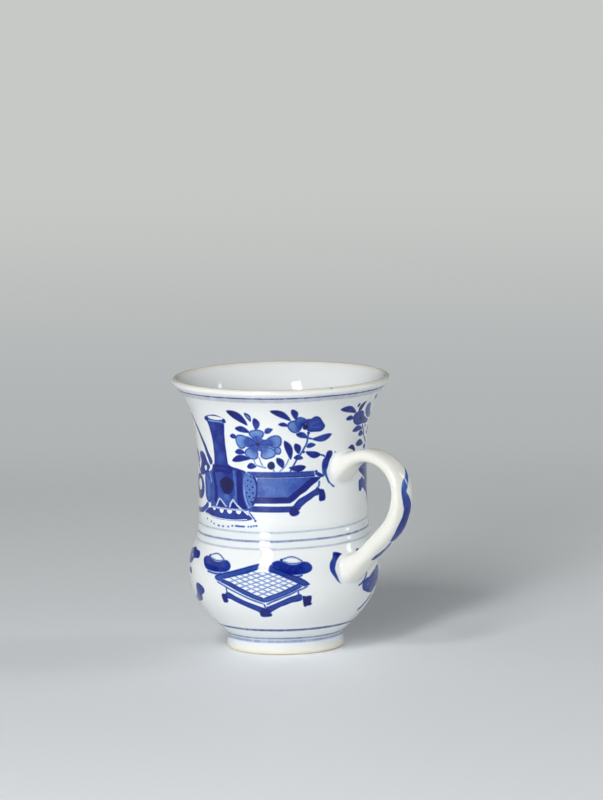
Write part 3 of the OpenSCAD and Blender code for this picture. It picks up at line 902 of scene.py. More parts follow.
def lower_right_clouds():
    """Strokes to the right of the lower seat."""
    dab = [(29.2, 35.8), (30.5, 36.2), (32.2, 35.7), (31, 35.2), (30, 35)]
    mark = [(32, 28.4), (33, 29.2), (33.8, 28.7), (33.4, 27.3), (32.7, 26), (31.3, 24.5),
            (28.8, 23.8), (29.8, 25.3), (31, 26.9)]
    scroll = [(31.2, 24.2), (32, 25), (33.5, 25.7), (35, 25.8), (36, 26.2), (38, 27.2), (40, 27.7),
              (42, 28.7), (44, 28.5), (46, 26.5), (46.4, 24), (44.6, 22), (42, 21), (41, 20),
              (38, 20.1), (36, 20.5), (34, 21.2), (32.3, 21.8), (31.3, 23)]
    return (
        blot(dab, FULL) + blot(mark, FULL) + washed(scroll, FULL - 0.06, DARK)
        + oval(35, 23.4, 1.2, LIGHT, 0.9)
        + stroke([(34.3, 14.4), (36, 14.9), (38, 16.3), (39.8, 18), (41, 19.4)], 1, FULL)
    )


def left_scroll():
    """Scroll and ribbon ends at the left edge of the bowl."""
    upper = [(-36.3, 33.9), (-36.7, 34.8), (-38, 35.4), (-40, 35.4), (-42, 36), (-44, 35.8),
             (-46, 35.3), (-49, 34.3), (-50.5, 32.4), (-49, 30.6), (-47, 30.3), (-44.5, 30.5),
             (-42.5, 31.2), (-41, 32.5), (-39, 33), (-37, 33.2)]
    lower = [(-32.7, 22.8), (-33.3, 23.6), (-34.5, 24.1), (-36, 24.5), (-37.5, 24.4),
             (-38.7, 23.3), (-39.3, 22), (-39.6, 20.9), (-41, 19.6), (-44, 18.9), (-48, 18),
             (-48, 16.4), (-44, 17.2), (-41, 17.7), (-39, 18), (-37, 18.6), (-36, 19.5),
             (-35.6, 20.6), (-34.2, 21.2), (-33, 22)]
    return (
        washed(upper, FULL, DARK) + oval(-44, 33.2, 3.2, LIGHT, 0.9)
        + oval(-44, 28, 4, FULL, 2.2) + washed(lower, 0.84, DARK, 0.3)
    )


# Places of the sprays opposite the handle, and of the bowl's second scene past the handle
NECK_BACK_X = -63.5
BOWL_BACK_X = -70.5
BOWL_BACK_DROP = -50.5
BOWL_SCENE_GAP = 3


def neck_painting():
    """The scene that the photo shows, and on the far side its mirror image about the handle,
    with a spray beside each opposite the handle. The mirror image leaves out the table's
    right leg."""
    vase_scene = (ribboned_jar() + vase_body() + vase_mouth() + vase_neck() + vase_foot()
                  + dotted_end() + first_spray())
    seen = (vase_scene + tray_table() + tray_table_right_leg() + second_spray()
            + upper_crescent() + third_spray() + second_table_corner())
    back = moved(second_spray(), NECK_BACK_X)
    return seen + back + mirrored(vase_scene + tray_table() + back, HANDLE_TURN * NECK_R)


def bowl_painting():
    """The scene that the photo shows, and on the far side its mirror image, with a spray
    beside each opposite the handle."""
    scene = left_scroll() + lidded_box(-25.2) + lidded_box(3.6) + gaming_table()
    back = moved(second_spray(), BOWL_BACK_X, BOWL_BACK_DROP)
    middle = HANDLE_TURN * BOWL_R
    return (
        scene + back + lower_crescent() + lower_right_clouds()
        + mirrored(scene, middle + BOWL_SCENE_GAP) + mirrored(back, middle)
    )


def strap_painting():
    """Long stripe down the outside of the handle, along the strap and round it, and a thin one
    under the lower arm."""
    stripe = [(26.3, 8.4), (29.5, 10.8), (33.2, 13), (36.5, 12), (39.5, 10.9), (44, 11.6),
              (48, 11.8), (51.6, 11.8)]
    under = [(52, 11.8), (55, 11.6), (58, 11.9), (60.5, 12.3), (62.3, 12.6)]
    spots = ((31, 12, 3.5, -0.26), (42, 11.5, 4, 0.1), (49, 12, 2, 0.08))
    return (
        stroke(stripe, (0.6, 1, 1.6, 1.7, 2.6, 3.3, 3, 3.3, 2.4, 1), 0.72, spots=spots)
        + stroke(under, (0.5, 0.6, 1, 1.8, 0.8), FULL)
    )


def on_wall(shapes, radius):
    """Shapes measured along the wall at one radius, moved to the unrolled wall of the mesh."""
    return moved(shapes, FRONT * SCALE_R, 0, SCALE_R / radius)


# Mesh of the cup

# Counts: points round the cup and round the strap, rows along the strap and in a weld,
# points in each part of the strap's middle line, and steps in the search for the wall
AROUND = 216
STRAP_LINES = 64
STRAP_ROWS = 76
WELD_STEPS = 6
TRACK_STEPS = 60
SEAT_STEPS = 400
STRAP_GIRTH = 24.0
STRAP_BLEND = 1.5
WELD_CLEAR = 1.3
FILLET = 1.1
PAINT_GAP = 0.15
SQUARENESS = 2.5
FLARE_FULLNESS = 0.6
LIFT_ANGLE = 40
CROWN_RISE = 5.9
CROWN_OUT = 12.6
BOW_DROP = 11.5
HEEL_IN = 5.3
HEEL_DROP = 13.2
ARM_BEND = 7
HOLE = -1.0


class Skin:
    """Collects the points and triangles of one closed surface."""

    def __init__(self):
        self.count = 0
        self.points, self.normals, self.straps = [], [], []
        self.corners, self.maps, self.tones, self.ringed = [], [], [], []

    def add_points(self, points, normals, strap=0.0):
        """Adds points and returns their numbers."""
        points = np.asarray(points, float).reshape(-1, 3)
        self.points.append(points)
        self.normals.append(np.asarray(normals, float).reshape(-1, 3))
        self.straps.append(np.broadcast_to(strap, len(points)))
        self.count += len(points)
        return np.arange(self.count - len(points), self.count)

    def add_triangles(self, corners, places, tones=0.0, ringed=0.0):
        """Adds triangles with their corners' places on the map and tones, less the flat ones."""
        a, b, c = corners.T
        good = (a != b) & (b != c) & (c != a)
        self.corners.append(corners[good])
        self.maps.append(places[good])
        self.tones.append(np.broadcast_to(tones, corners.shape)[good])
        self.ringed.append(np.full(good.sum(), ringed))

    def add_sheet(self, ids, places, ringed=0.0):
        """Adds a grid of numbered points as triangles."""
        corners = []
        for table in (ids, places):
            a, b, c, d = table[:-1, :-1], table[:-1, 1:], table[1:, 1:], table[1:, :-1]
            both = np.stack((np.stack((a, b, c), 2), np.stack((a, c, d), 2)))
            corners.append(both.reshape(-1, 3, *table.shape[2:]))
        self.add_triangles(*corners, ringed=ringed)

    def mesh(self, name):
        """The mesh, with every triangle turned to the side of its corners' normals."""
        points, normals = np.vstack(self.points), np.vstack(self.normals)
        corners, places = np.vstack(self.corners), np.vstack(self.maps)
        tones = np.vstack(self.tones)
        edge = points[corners[:, 1:]] - points[corners[:, :1]]
        face = np.cross(edge[:, 0], edge[:, 1])
        wrong = np.einsum("ij,ij->i", face, normals[corners].sum(1)) < 0
        for table in (corners, places, tones):
            table[wrong] = table[wrong][:, ::-1]
        used, corners = np.unique(corners, return_inverse=True)
        corners = corners.reshape(-1, 3)
        mesh = bpy.data.meshes.new(name)
        mesh.vertices.add(len(used))
        mesh.vertices.foreach_set("co", (points[used] * MM).ravel())
        mesh.loops.add(corners.size)
        mesh.loops.foreach_set("vertex_index", corners.ravel())
        mesh.polygons.add(len(corners))
        mesh.polygons.foreach_set("loop_start", np.arange(0, corners.size, 3))
        mesh.polygons.foreach_set("use_smooth", np.ones(len(corners), bool))
        mesh.update(calc_edges=True)
        mesh.uv_layers.new(name="OFBake").uv.foreach_set("vector", places.ravel())
        for label, domain, values in (
            ("tone", "CORNER", tones),
            ("ringed", "FACE", np.concatenate(self.ringed)),
            ("strap", "POINT", np.concatenate(self.straps)[used]),
        ):
            data = mesh.attributes.new(label, "FLOAT", domain).data
            data.foreach_set("value", values.ravel().astype(np.float32))
        mesh.normals_split_custom_set_from_vertices(unit(normals[used]))
        return mesh


def triangulate(grid, shapes, holes=()):
    """Triangles of a flat sheet that follow every painted outline.

    The sheet's own points and all outlines go into one constrained Delaunay triangulation. A
    triangle takes the tone of the last shape that it lies in, or else a faint tone where it
    lies in the bleed round a shape. Returns the points, the triangles, their corners' tones
    and, for each point given, its number among the points returned.
    """
    bleeds = [Shape(spread(shape.outline, BLEED), BLEED_TONE * shape.tone)
              for shape in shapes if shape.tone > BLEED_LEAST]
    layers = [shape._replace(outline=kept_clear(short_sided(turned_left(shape.outline)), holes))
              for shape in bleeds + shapes] + [Shape(hole, HOLE) for hole in holes]
    points, edges = [grid], []
    start = len(grid)
    for outline, _, _ in layers:
        ring = np.arange(start, start + len(outline))
        points.append(outline)
        edges += np.stack((ring, np.roll(ring, -1)), 1).tolist()
        start += len(outline)
    given = np.vstack(points).tolist()
    flat, _, triangles, made_from, _, _ = delaunay_2d_cdt(given, edges, [], 0, TINY, True)
    flat, triangles = np.array(flat), np.array(triangles)
    middles = flat[triangles].mean(1)
    layer = np.full(len(triangles), -1)
    for index, shape in enumerate(layers):
        layer[inside_outline(middles, turned_left(shape.outline))] = index
    tones = np.zeros(triangles.shape)
    for index in np.unique(layer[layer >= 0]):
        mine = layer == index
        tones[mine] = toned(layers[index], flat[triangles[mine]])
    keep = layer < len(layers) - len(holes)
    number = np.zeros(len(given), int)
    counts = [len(olds) for olds in made_from]
    number[np.concatenate(made_from).astype(int)] = np.repeat(np.arange(len(flat)), counts)
    return flat, triangles[keep], np.maximum(tones[keep], 0), number


def short_sided(outline, gap=0.8):
    """The outline with its long sides divided, so that the mesh bends with the wall."""
    out = []
    for a, b in zip(outline, np.roll(outline, -1, 0)):
        n = max(1, math.ceil(np.linalg.norm(b - a) / gap))
        out.append(a + (b - a) * np.arange(n)[:, None] / n)
    return np.vstack(out)


def kept_clear(outline, holes):
    """The outline with its points inside a hole moved straight out to beside the hole's edge."""
    for hole in holes:
        middle = hole.mean(0)
        x, z = (hole - middle).T
        away = outline - middle
        edge = np.interp(np.arctan2(away[:, 1], away[:, 0]), np.arctan2(z, x), np.hypot(x, z),
                         period=2 * math.pi)
        far = (edge + PAINT_GAP) / np.maximum(np.hypot(*away.T), TINY)
        outline = middle + away * np.maximum(far, 1)[:, None]
    return outline


def inside_outline(points, outline):
    """Which points an outline winds round to the left: each side that passes to the right of
    a point counts one if it goes up and minus one if it goes down."""
    low, high = outline.min(0), outline.max(0)
    near = np.flatnonzero(np.all((points > low) & (points < high), 1))
    x, z = points[near, :1], points[near, 1:]
    (x0, z0), (x1, z1) = outline.T, np.roll(outline, -1, 0).T
    with np.errstate(divide="ignore", invalid="ignore"):
        right = x0 + (z - z0) / (z1 - z0) * (x1 - x0) > x
    up = (z0 <= z) & (z1 > z) & right
    down = (z1 <= z) & (z0 > z) & right
    return near[up.sum(1) > down.sum(1)]


def on_cup(flat, wall):
    """Points and normals on the wall for points of the unrolled wall."""
    azimuth, z = flat[:, 0] / SCALE_R, flat[:, 1]
    radius, out, up = (np.interp(z, wall[:, 1], wall[:, k]) for k in (0, 2, 3))
    c, s = np.cos(azimuth), np.sin(azimuth)
    return np.stack((radius * c, radius * s, z), 1), np.stack((out * c, out * s, up), 1)


# The map's scale, and where each sheet starts on it; the turned strips have a scale of their own
MAP_SCALE = 1 / (2 * math.pi * SCALE_R)
WALL_MAP = (0.5, 0.54)
INSIDE_MAP = (0.0, 0.24, 0.44)
FOOT_MAP = (0.0, 0.2, 0.6)
UNDER_MAP = (0.0, 0.14, 0.3)
STRAP_MAP = (0.01, 0.01)


def paint_wall(skin, wall, seats):
    """The painted outside. Returns the numbers of its lowest and highest rows and of the seats."""
    azimuth = np.linspace(-math.pi, math.pi, AROUND + 1) * SCALE_R
    rows = wall[::FINE, 1]
    across, up = np.meshgrid(azimuth, rows)
    grid = np.stack((across.ravel(), up.ravel()), 1)
    holes = [seat.outline for seat in seats]
    shapes = on_wall(neck_painting(), NECK_R) + on_wall(bowl_painting(), BOWL_R)
    flat, triangles, tones, number = triangulate(np.vstack([grid] + holes), shapes, holes)
    ids = skin.add_points(*on_cup(flat, wall))
    numbered = ids[number[: len(grid)]].reshape(across.shape)
    joins = ids.copy()
    joins[numbered[:, -1] - ids[0]] = numbered[:, 0]
    places = flat * MAP_SCALE + (WALL_MAP[0], WALL_MAP[1] - rows[0] * MAP_SCALE)
    skin.add_triangles(joins[triangles], places[triangles], tones, 1.0)
    edges = ids[number[len(grid) : len(grid) + 2 * STRAP_LINES]].reshape(2, STRAP_LINES)
    numbered[:, -1] = numbered[:, 0]
    return numbered[0], numbered[-1], edges


def turn_rows(skin, rows, first_ids, last_ids, place, ringed=0.0):
    """A strip turned round the axis, from rows of (r, z, normal r, normal z).

    Its first or last row may be points that the skin already has. Returns its last row.
    """
    azimuth = np.linspace(-math.pi, math.pi, AROUND + 1)
    c, s = np.cos(azimuth), np.sin(azimuth)
    ids = np.zeros((len(rows), AROUND + 1), int)
    for j, (r, z, out, up) in enumerate(rows):
        if j == 0 and first_ids is not None:
            ids[j] = first_ids
        elif j == len(rows) - 1 and last_ids is not None:
            ids[j] = last_ids
        elif r < TINY:
            ids[j] = skin.add_points((0, 0, z), (0, 0, math.copysign(1, up)))
        else:
            points = np.stack((r * c, r * s, 0 * c + z), 1)[:-1]
            normals = np.stack((out * c, out * s, 0 * c + up), 1)[:-1]
            new = skin.add_points(points, normals)
            ids[j] = np.append(new, new[0])
    across, up, scale = place
    along = run_along(rows[:, :2]) * scale * MAP_SCALE
    u, v = np.meshgrid(azimuth / (2 * math.pi) + 0.5, along)
    skin.add_sheet(ids, np.stack((u + across, v + up), -1), ringed)
    return ids[-1]


class Track(NamedTuple):
    """Middle line of the strap in the plane of the handle, from one seat to the other."""

    line: np.ndarray
    along: np.ndarray
    bow: np.ndarray


class Seat(NamedTuple):
    """Where the strap meets the wall, line by line round the strap."""

    outline: np.ndarray
    touch: np.ndarray
    places: np.ndarray
    ahead: np.ndarray


def strap_track(s, wall):
    """From the upper seat over the crown, round the bow, past the heel and to the lower seat."""
    radius = np.interp((s.upper_seat_z, s.lower_seat_z), wall[:, 1], wall[:, 0])
    upper = np.array((radius[0] - s.wall / 2, s.upper_seat_z))
    lower = np.array((radius[1] - BOWL_WALL / 2, s.lower_seat_z))
    crown = np.array((s.neck_r + CROWN_OUT, s.upper_seat_z + CROWN_RISE))
    bow = np.array((s.reach - s.strap_t / 2, crown[1] - BOW_DROP))
    heel = bow - (HEEL_IN, HEEL_DROP)
    arm = lower - heel
    arm_angle = math.degrees(math.atan2(arm[1], arm[0]))
    lift = (crown[0] - upper[0]) * GENTLE
    arm_reach = np.linalg.norm(arm) * GENTLE
    parts = (
        (upper, LIFT_ANGLE, lift, crown, 0, lift),
        (crown, 0, (bow[0] - crown[0]) * QUARTER, bow, -90, BOW_DROP * QUARTER),
        (bow, -90, HEEL_DROP * GENTLE, heel, arm_angle + ARM_BEND / 2, HEEL_DROP * GENTLE),
        (heel, arm_angle + ARM_BEND / 2, arm_reach, lower, arm_angle - ARM_BEND / 2, arm_reach),
    )
    line = joined([curve(part, TRACK_STEPS) for part in parts])
    return Track(line, run_along(line), bow)


def strap_angles():
    """Angles of the lines round the strap, from the middle of its inner face."""
    return np.linspace(0, 2 * math.pi, STRAP_LINES + 1)[:-1] - math.pi / 2


def signed_power(x):
    """A power of x's size with x's sign, which squares off an ellipse."""
    return np.sign(x) * np.abs(x) ** (2 / SQUARENESS)


def strap_points(s, track, places, angle):
    """Points on the strap at distances along its middle line and angles round it.

    A section is a flattened ellipse square to the line. Near a seat it swells to the seat's
    size, turns upright and bends round the cup.
    """
    step = np.gradient(track.line, axis=0)
    r, z, out, up = (np.interp(places, track.along, k) for k in (*track.line.T, *step.T))
    top, low = (flare(s, r, z, seat) for seat in (track.line[0], track.line[-1]))
    near = np.maximum(top, low)
    turn = np.arctan2(up, out) * (1 - near) - np.where(low > top, math.pi * near, 0)
    drop = np.clip((track.bow[1] - z) / HEEL_DROP, 0, 1)
    own = s.strap_t + (s.heel_t - s.strap_t) * drop * drop * (3 - 2 * drop)
    thick = own + (s.upper_seat_h - own) * top + (s.lower_seat_h - own) * low
    y = (s.strap_w + (s.seat_w - s.strap_w) * near) / 2 * signed_power(np.cos(angle))
    n = thick / 2 * signed_power(np.sin(angle))
    bend = near * (r - np.sqrt(r * r - y * y))
    return np.stack((r - n * np.sin(turn) - bend, y, z + n * np.cos(turn)), -1)


def flare(s, r, z, seat):
    """How much of the flare is left: 1 at the seat, falling smoothly to 0 at its end."""
    u = np.minimum(np.hypot(r - seat[0], z - seat[1]) / s.flare_len, 1)
    return (1 - u) ** 2 * (1 + FLARE_FULLNESS * u)


def strap_seat(s, track, wall, angle, at_end):
    """Follows each line of the strap from inside the wall outwards: to where it touches the
    wall, and on to where it is clear of it."""
    reach = np.linspace(0, s.flare_len, SEAT_STEPS)[:, None] + 0 * angle
    places = track.along[-1] - reach if at_end else reach
    points = strap_points(s, track, places, angle)
    x, y, z = np.moveaxis(points, -1, 0)
    clear = np.hypot(x, y) - np.interp(z, wall[:, 1], wall[:, 0])
    each = np.arange(len(angle))
    touch, free = (len(reach) - 2 - np.argmax(clear[-2::-1] < gap, 0) for gap in (0, WELD_CLEAR))
    ahead = unit(points[free + 1, each] - points[free, each])
    touch = points[touch, each]
    flat = np.stack((np.arctan2(touch[:, 1], touch[:, 0]) * SCALE_R, touch[:, 2]), 1)
    away = flat - flat.mean(0)
    outline = flat + FILLET * away / np.linalg.norm(away, axis=1, keepdims=True)
    return Seat(outline, touch, places[free, each], ahead)


def weld(foot, seat, ring):
    """Rows of points from a seat's outline on the wall to the strap, as cubic curves: each
    leaves towards the line of touch and arrives along the strap."""
    half = np.linalg.norm(ring - foot, axis=1, keepdims=True) / 2
    a, b = foot + unit(seat.touch - foot) * half, ring - seat.ahead * half
    t = np.linspace(0, 1, WELD_STEPS + 1)[:-1, None, None]
    return cubic(t, foot, a, b, ring)


def strap_table(s, track, wall, seats):
    """Points and normals of the handle in rows from seat to seat, and each row's distance."""
    angle = strap_angles()
    t = np.linspace(0, 1, STRAP_ROWS)[:, None]
    places = seats[0].places + (seats[1].places - seats[0].places) * t
    rings = strap_points(s, track, places, angle)
    feet = [on_cup(seat.outline, wall)[0] for seat in seats]
    points = np.concatenate((weld(feet[0], seats[0], rings[0]), rings,
                             weld(feet[1], seats[1], rings[-1])[::-1]))
    around = np.roll(points, -1, 1) - np.roll(points, 1, 1)
    normals = unit(np.cross(around, np.gradient(points, axis=0)))
    steps = np.linalg.norm(np.diff(points, axis=0), axis=-1).mean(1)
    run = np.concatenate(((0,), np.cumsum(steps)))
    return [np.concatenate((k, k[:, :1]), 1) for k in (points, normals)] + [run]


def between(table, rows, columns):
    """Values of a table at places between its rows and columns."""
    i = np.clip(rows.astype(int), 0, table.shape[0] - 2)
    j = np.clip(columns.astype(int), 0, table.shape[1] - 2)
    u, v = (rows - i)[:, None], (columns - j)[:, None]
    first = table[i, j] * (1 - v) + table[i, j + 1] * v
    return first * (1 - u) + (table[i + 1, j] * (1 - v) + table[i + 1, j + 1] * v) * u


def paint_strap(skin, s, wall, track, seats, edges):
    """The handle, from one seat's outline on the wall to the other's."""
    points, normals, run = strap_table(s, track, wall, seats)
    last = len(run) - 1
    up, across = np.meshgrid(np.linspace(0, STRAP_GIRTH, STRAP_LINES + 1), run)
    grid = np.stack((across.ravel(), up.ravel()), 1)
    flat, triangles, tones, number = triangulate(grid, strap_painting())
    rows = np.interp(flat[:, 0], run, np.arange(last + 1))
    columns = flat[:, 1] / STRAP_GIRTH * STRAP_LINES
    share = np.clip(np.minimum(rows, last - rows) / (STRAP_BLEND * WELD_STEPS), 0, 1)
    ids = skin.add_points(between(points, rows, columns), between(normals, rows, columns), share)
    numbered = number[: len(grid)].reshape(across.shape)
    joins = ids.copy()
    joins[numbered[0, :-1]], joins[numbered[-1, :-1]] = edges
    joins[numbered[:, -1]] = joins[numbered[:, 0]]
    places = flat * MAP_SCALE + STRAP_MAP
    skin.add_triangles(joins[triangles], places[triangles], tones)


def build_cup(s):
    """The whole glazed cup as one closed mesh."""
    under, foot, wall, inner = section(s)
    skin = Skin()
    track = strap_track(s, wall)
    seats = [strap_seat(s, track, wall, strap_angles(), at_end) for at_end in (False, True)]
    low, high, edges = paint_wall(skin, wall, seats)
    land = turn_rows(skin, under[::FINE], None, None, UNDER_MAP)
    turn_rows(skin, foot[::FINE], land, low, FOOT_MAP, 1.0)
    turn_rows(skin, inner[::FINE], high, None, INSIDE_MAP)
    paint_strap(skin, s, wall, track, seats, edges)
    return skin.mesh("cup_glazed")


# Materials

# The tone that is the ramp's end, and where its four colours lie along it
TOP_TONE = 1.1
COBALT_PLACES = (("wash", 0.2), ("middle", 0.53), ("deep", 0.8), ("darkest", 1.0))
BLOTCH_SHARE = 1.3
GRAIN_SHARE = 0.7
# Least tone that counts as painted, how far the mottle changes it, and the tone that covers
LEAST_TONE = 0.01
UNEVEN = 0.22
COVERING = 0.22
# Sets of rings: how a set leans, and its rings as (height, half width, softness, strength)
RING_SETS = (
    ((-0.0068, -0.0013), ((91.03, 0.18, 0.24, 0.95), (90.1, 0.4, 0.5, 0.34))),
    ((0.0074, -0.0319), ((45.06, 0.16, 0.34, 0.36), (42.15, 0.2, 0.32, 0.72),
                         (39.55, 0.16, 0.34, 0.38))),
    ((-0.01, -0.0044), ((9.7, 0.28, 0.3, 1.0), (6.16, 0.16, 0.34, 0.75), (5.03, 0.24, 0.5, 0.6))),
)
# How far the rings wander up and down, how dense that is, and how the mottle thins them
RING_WANDER = 0.6
WANDER_SCALE = 0.06
RING_MOTTLE = 0.9
# Small marks as (place, size, strength): a hairline in the lip, a speck, a stained crease
MARKS = (
    ((34.4, -11.9, 93.6), (1.3, 0.45, 1.1), 0.9),
    ((35.8, -1, 93.7), (0.6, 0.6, 0.5), 0.9),
    ((33.2, -0.4, 35.8), (1.6, 1.6, 0.8), 0.5),
)
STAIN_CORE = 0.3
# Zones of the glaze, each from the height where it starts to the height where it is full
LIP_ZONE = (92.9, 93.6)
WAIST_TOP = (47, 44.5)
WAIST_FOOT = (37, 39.5)
POOL_ZONE = (9, 5.5)
LOW_ZONE = (3.2, 1.6)
BARE_ZONE = (0.35, 0.15)
# How strongly the zones show
LIP_WARMTH = 0.7
WAIST_POOLING = 0.7
POOLING = 0.5
EDGE_BARENESS = 0.4
GLAZE_ROUGHNESS = 0.06
CLAY_ROUGHNESS = 0.5
# The glaze's slow waves: how dense, how strong, and how high in metres
WAVE_SCALE = 0.09
WAVE_STRENGTH = 0.25
WAVE_HEIGHT = 0.0006


class Nodes:
    """Adds and links the nodes of one tree."""

    def __init__(self, tree):
        self.tree = tree

    def add(self, kind, settings=None, **inputs):
        """A node with settings and inputs; an input may be a value or another node's socket."""
        node = self.tree.nodes.new(kind)
        for name, value in (settings or {}).items():
            setattr(node, name, value)
        for name, value in inputs.items():
            key = int(name[1:]) if name[1:].isdigit() else name.replace("_", " ")
            socket = node.inputs[key]
            if isinstance(value, bpy.types.NodeSocket):
                self.tree.links.new(value, socket)
            else:
                socket.default_value = value
        return node

    def maths(self, operation, a, b=0.0, clamp=False):
        """One operation on two values, if wanted held between 0 and 1."""
        return self.add("ShaderNodeMath", {"operation": operation, "use_clamp": clamp},
                        i0=a, i1=b).outputs[0]

    def vector(self, operation, a, b):
        """One operation on two vectors. Returns its vector and its value."""
        return self.add("ShaderNodeVectorMath", {"operation": operation}, i0=a, i1=b).outputs

    def mix(self, factor, a, b):
        """The first colour where the factor is 0, the second where it is 1, blended between."""
        a, b = ((*c, 1) if isinstance(c, tuple) else c for c in (a, b))
        return self.add("ShaderNodeMix", {"data_type": "RGBA"}, i0=factor, i6=a, i7=b).outputs[2]

    def eased(self, value, low, high):
        """0 at the first limit and 1 at the second, eased at both ends."""
        node = self.add("ShaderNodeMapRange", {"interpolation_type": "SMOOTHSTEP"},
                        i0=value, i1=low, i2=high)
        return node.outputs[0]

    def attribute(self, name):
        """A value that the mesh carries at each of its points."""
        return self.add("ShaderNodeAttribute", {"attribute_name": name}).outputs["Fac"]

    def group(self, group, **inputs):
        """The one output of a node group."""
        return self.add("ShaderNodeGroup", {"node_tree": group}, **inputs).outputs[0]


def new_material(name):
    """A material with no nodes yet, and the adder of its nodes."""
    material = bpy.data.materials.new(name)
    material.use_nodes = True
    material.node_tree.nodes.clear()
    return material, Nodes(material.node_tree)


def node_group(name, sockets_in, sockets_out):
    """An empty node group with its sockets. Returns the group, its nodes, inputs and outputs."""
    group = bpy.data.node_groups.new(name, "ShaderNodeTree")
    for label, kind, default in sockets_in:
        socket = group.interface.new_socket(label, in_out="INPUT", socket_type=kind)
        if default is not None:
            socket.default_value = default
    for label, kind in sockets_out:
        group.interface.new_socket(label, in_out="OUTPUT", socket_type=kind)
    nodes = Nodes(group)
    return group, nodes, nodes.add("NodeGroupInput").outputs, nodes.add("NodeGroupOutput").inputs


def ring_group():
    """Painted ring: 1 within half a width of a level, fading out over the softness."""
    group, n, given, out = node_group(
        "Painted ring",
        [("Height", "NodeSocketFloat", None), ("Level", "NodeSocketFloat", 0.0),
         ("Half width", "NodeSocketFloat", 0.3), ("Softness", "NodeSocketFloat", 0.2),
         ("Strength", "NodeSocketFloat", 0.5)],
        [("Mask", "NodeSocketFloat")],
    )
    away = n.maths("ABSOLUTE", n.maths("SUBTRACT", given["Height"], given["Level"]))
    beyond = n.maths("DIVIDE", n.maths("SUBTRACT", away, given["Half width"]), given["Softness"])
    mask = n.maths("SUBTRACT", 1.0, beyond, clamp=True)
    group.links.new(n.maths("MULTIPLY", mask, given["Strength"]), out["Mask"])
    return group


def stain_group():
    """Small stain: 1 in the middle of an ellipsoid, fading out to its surface."""
    group, n, given, out = node_group(
        "Small stain",
        [("Vector", "NodeSocketVector", None), ("Place", "NodeSocketVector", None),
         ("Size", "NodeSocketVector", None), ("Strength", "NodeSocketFloat", 0.5)],
        [("Mask", "NodeSocketFloat")],
    )
    away = n.vector("SUBTRACT", given["Vector"], given["Place"])[0]
    share = n.vector("DIVIDE", away, given["Size"])[0]
    far = n.add("ShaderNodeVectorMath", {"operation": "LENGTH"}, i0=share).outputs["Value"]
    mask = n.eased(far, 1, STAIN_CORE)
    group.links.new(n.maths("MULTIPLY", mask, given["Strength"]), out["Mask"])
    return group


def mottle_group():
    """Uneven wash: soft blotches and fine grain about zero, as brushed pigment leaves."""
    group, n, given, out = node_group(
        "Brush mottle",
        [("Vector", "NodeSocketVector", None), ("Blotch size", "NodeSocketFloat", 0.45),
         ("Grain size", "NodeSocketFloat", 2.2)],
        [("Value", "NodeSocketFloat")],
    )
    blotch = n.add("ShaderNodeTexNoise", Vector=given["Vector"], Scale=given["Blotch size"],
                   Detail=3.0, Roughness=0.6)
    grain = n.add("ShaderNodeTexNoise", Vector=given["Vector"], Scale=given["Grain size"],
                  Detail=2.0, Roughness=0.5)
    both = n.maths("ADD", n.maths("MULTIPLY", blotch.outputs["Fac"], BLOTCH_SHARE),
                   n.maths("MULTIPLY", grain.outputs["Fac"], GRAIN_SHARE))
    middle = (BLOTCH_SHARE + GRAIN_SHARE) / 2
    group.links.new(n.maths("SUBTRACT", both, middle), out["Value"])
    return group


def cobalt_group(colours):
    """Cobalt under the glaze: from a tone to its colour, from pale wash to nearly black."""
    group, n, given, out = node_group(
        "Cobalt tones", [("Tone", "NodeSocketFloat", 0.5)], [("Colour", "NodeSocketColor")]
    )
    ramp = n.add("ShaderNodeValToRGB", Fac=n.maths("DIVIDE", given["Tone"], TOP_TONE))
    elements = ramp.color_ramp.elements
    while len(elements) < len(COBALT_PLACES):
        elements.new(0.5)
    for element, (name, place) in zip(elements, COBALT_PLACES):
        element.position = place
        element.color = (*getattr(colours, name), 1)
    group.links.new(ramp.outputs["Color"], out["Colour"])
    return group


def glaze_colour(n, height, colours):
    """The glaze where nothing is painted: warmer on the strap and at the edges, cooler where it
    pooled at the waist and over the foot, and thin at the edges, so that the clay shows."""
    lip = n.eased(height, *LIP_ZONE)
    low = n.eased(height, *LOW_ZONE)
    warm = n.maths("MAXIMUM", n.attribute("strap"), n.maths("MULTIPLY", lip, LIP_WARMTH))
    warm = n.maths("MAXIMUM", warm, low)
    waist = n.maths("MULTIPLY", n.eased(height, *WAIST_FOOT), n.eased(height, *WAIST_TOP))
    waist = n.maths("MULTIPLY", waist, WAIST_POOLING)
    pool = n.maths("MAXIMUM", n.eased(height, *POOL_ZONE), waist)
    ground = n.mix(n.maths("MULTIPLY", pool, POOLING), colours.glaze, colours.pooled)
    ground = n.mix(warm, ground, colours.cream)
    edges = n.maths("MULTIPLY", n.maths("MAXIMUM", lip, low), EDGE_BARENESS)
    return n.mix(edges, ground, colours.bare)


def painted_colour(n, place, ground, colours):
    """The ground with the painted shapes, the rings and the small marks over it."""
    mottle = n.group(mottle_group(), Vector=place)
    tone = n.attribute("tone")
    painted = n.maths("GREATER_THAN", tone, LEAST_TONE)
    uneven = n.maths("MULTIPLY", n.maths("MULTIPLY", mottle, UNEVEN), painted)
    total = n.maths("ADD", tone, uneven)
    covered = n.maths("DIVIDE", total, COVERING, clamp=True)
    base = n.mix(covered, ground, n.group(cobalt_group(colours), Tone=total))
    base = n.mix(ring_mask(n, place, mottle), base, colours.ring)
    return n.mix(stain_mask(n, place), base, colours.stain)


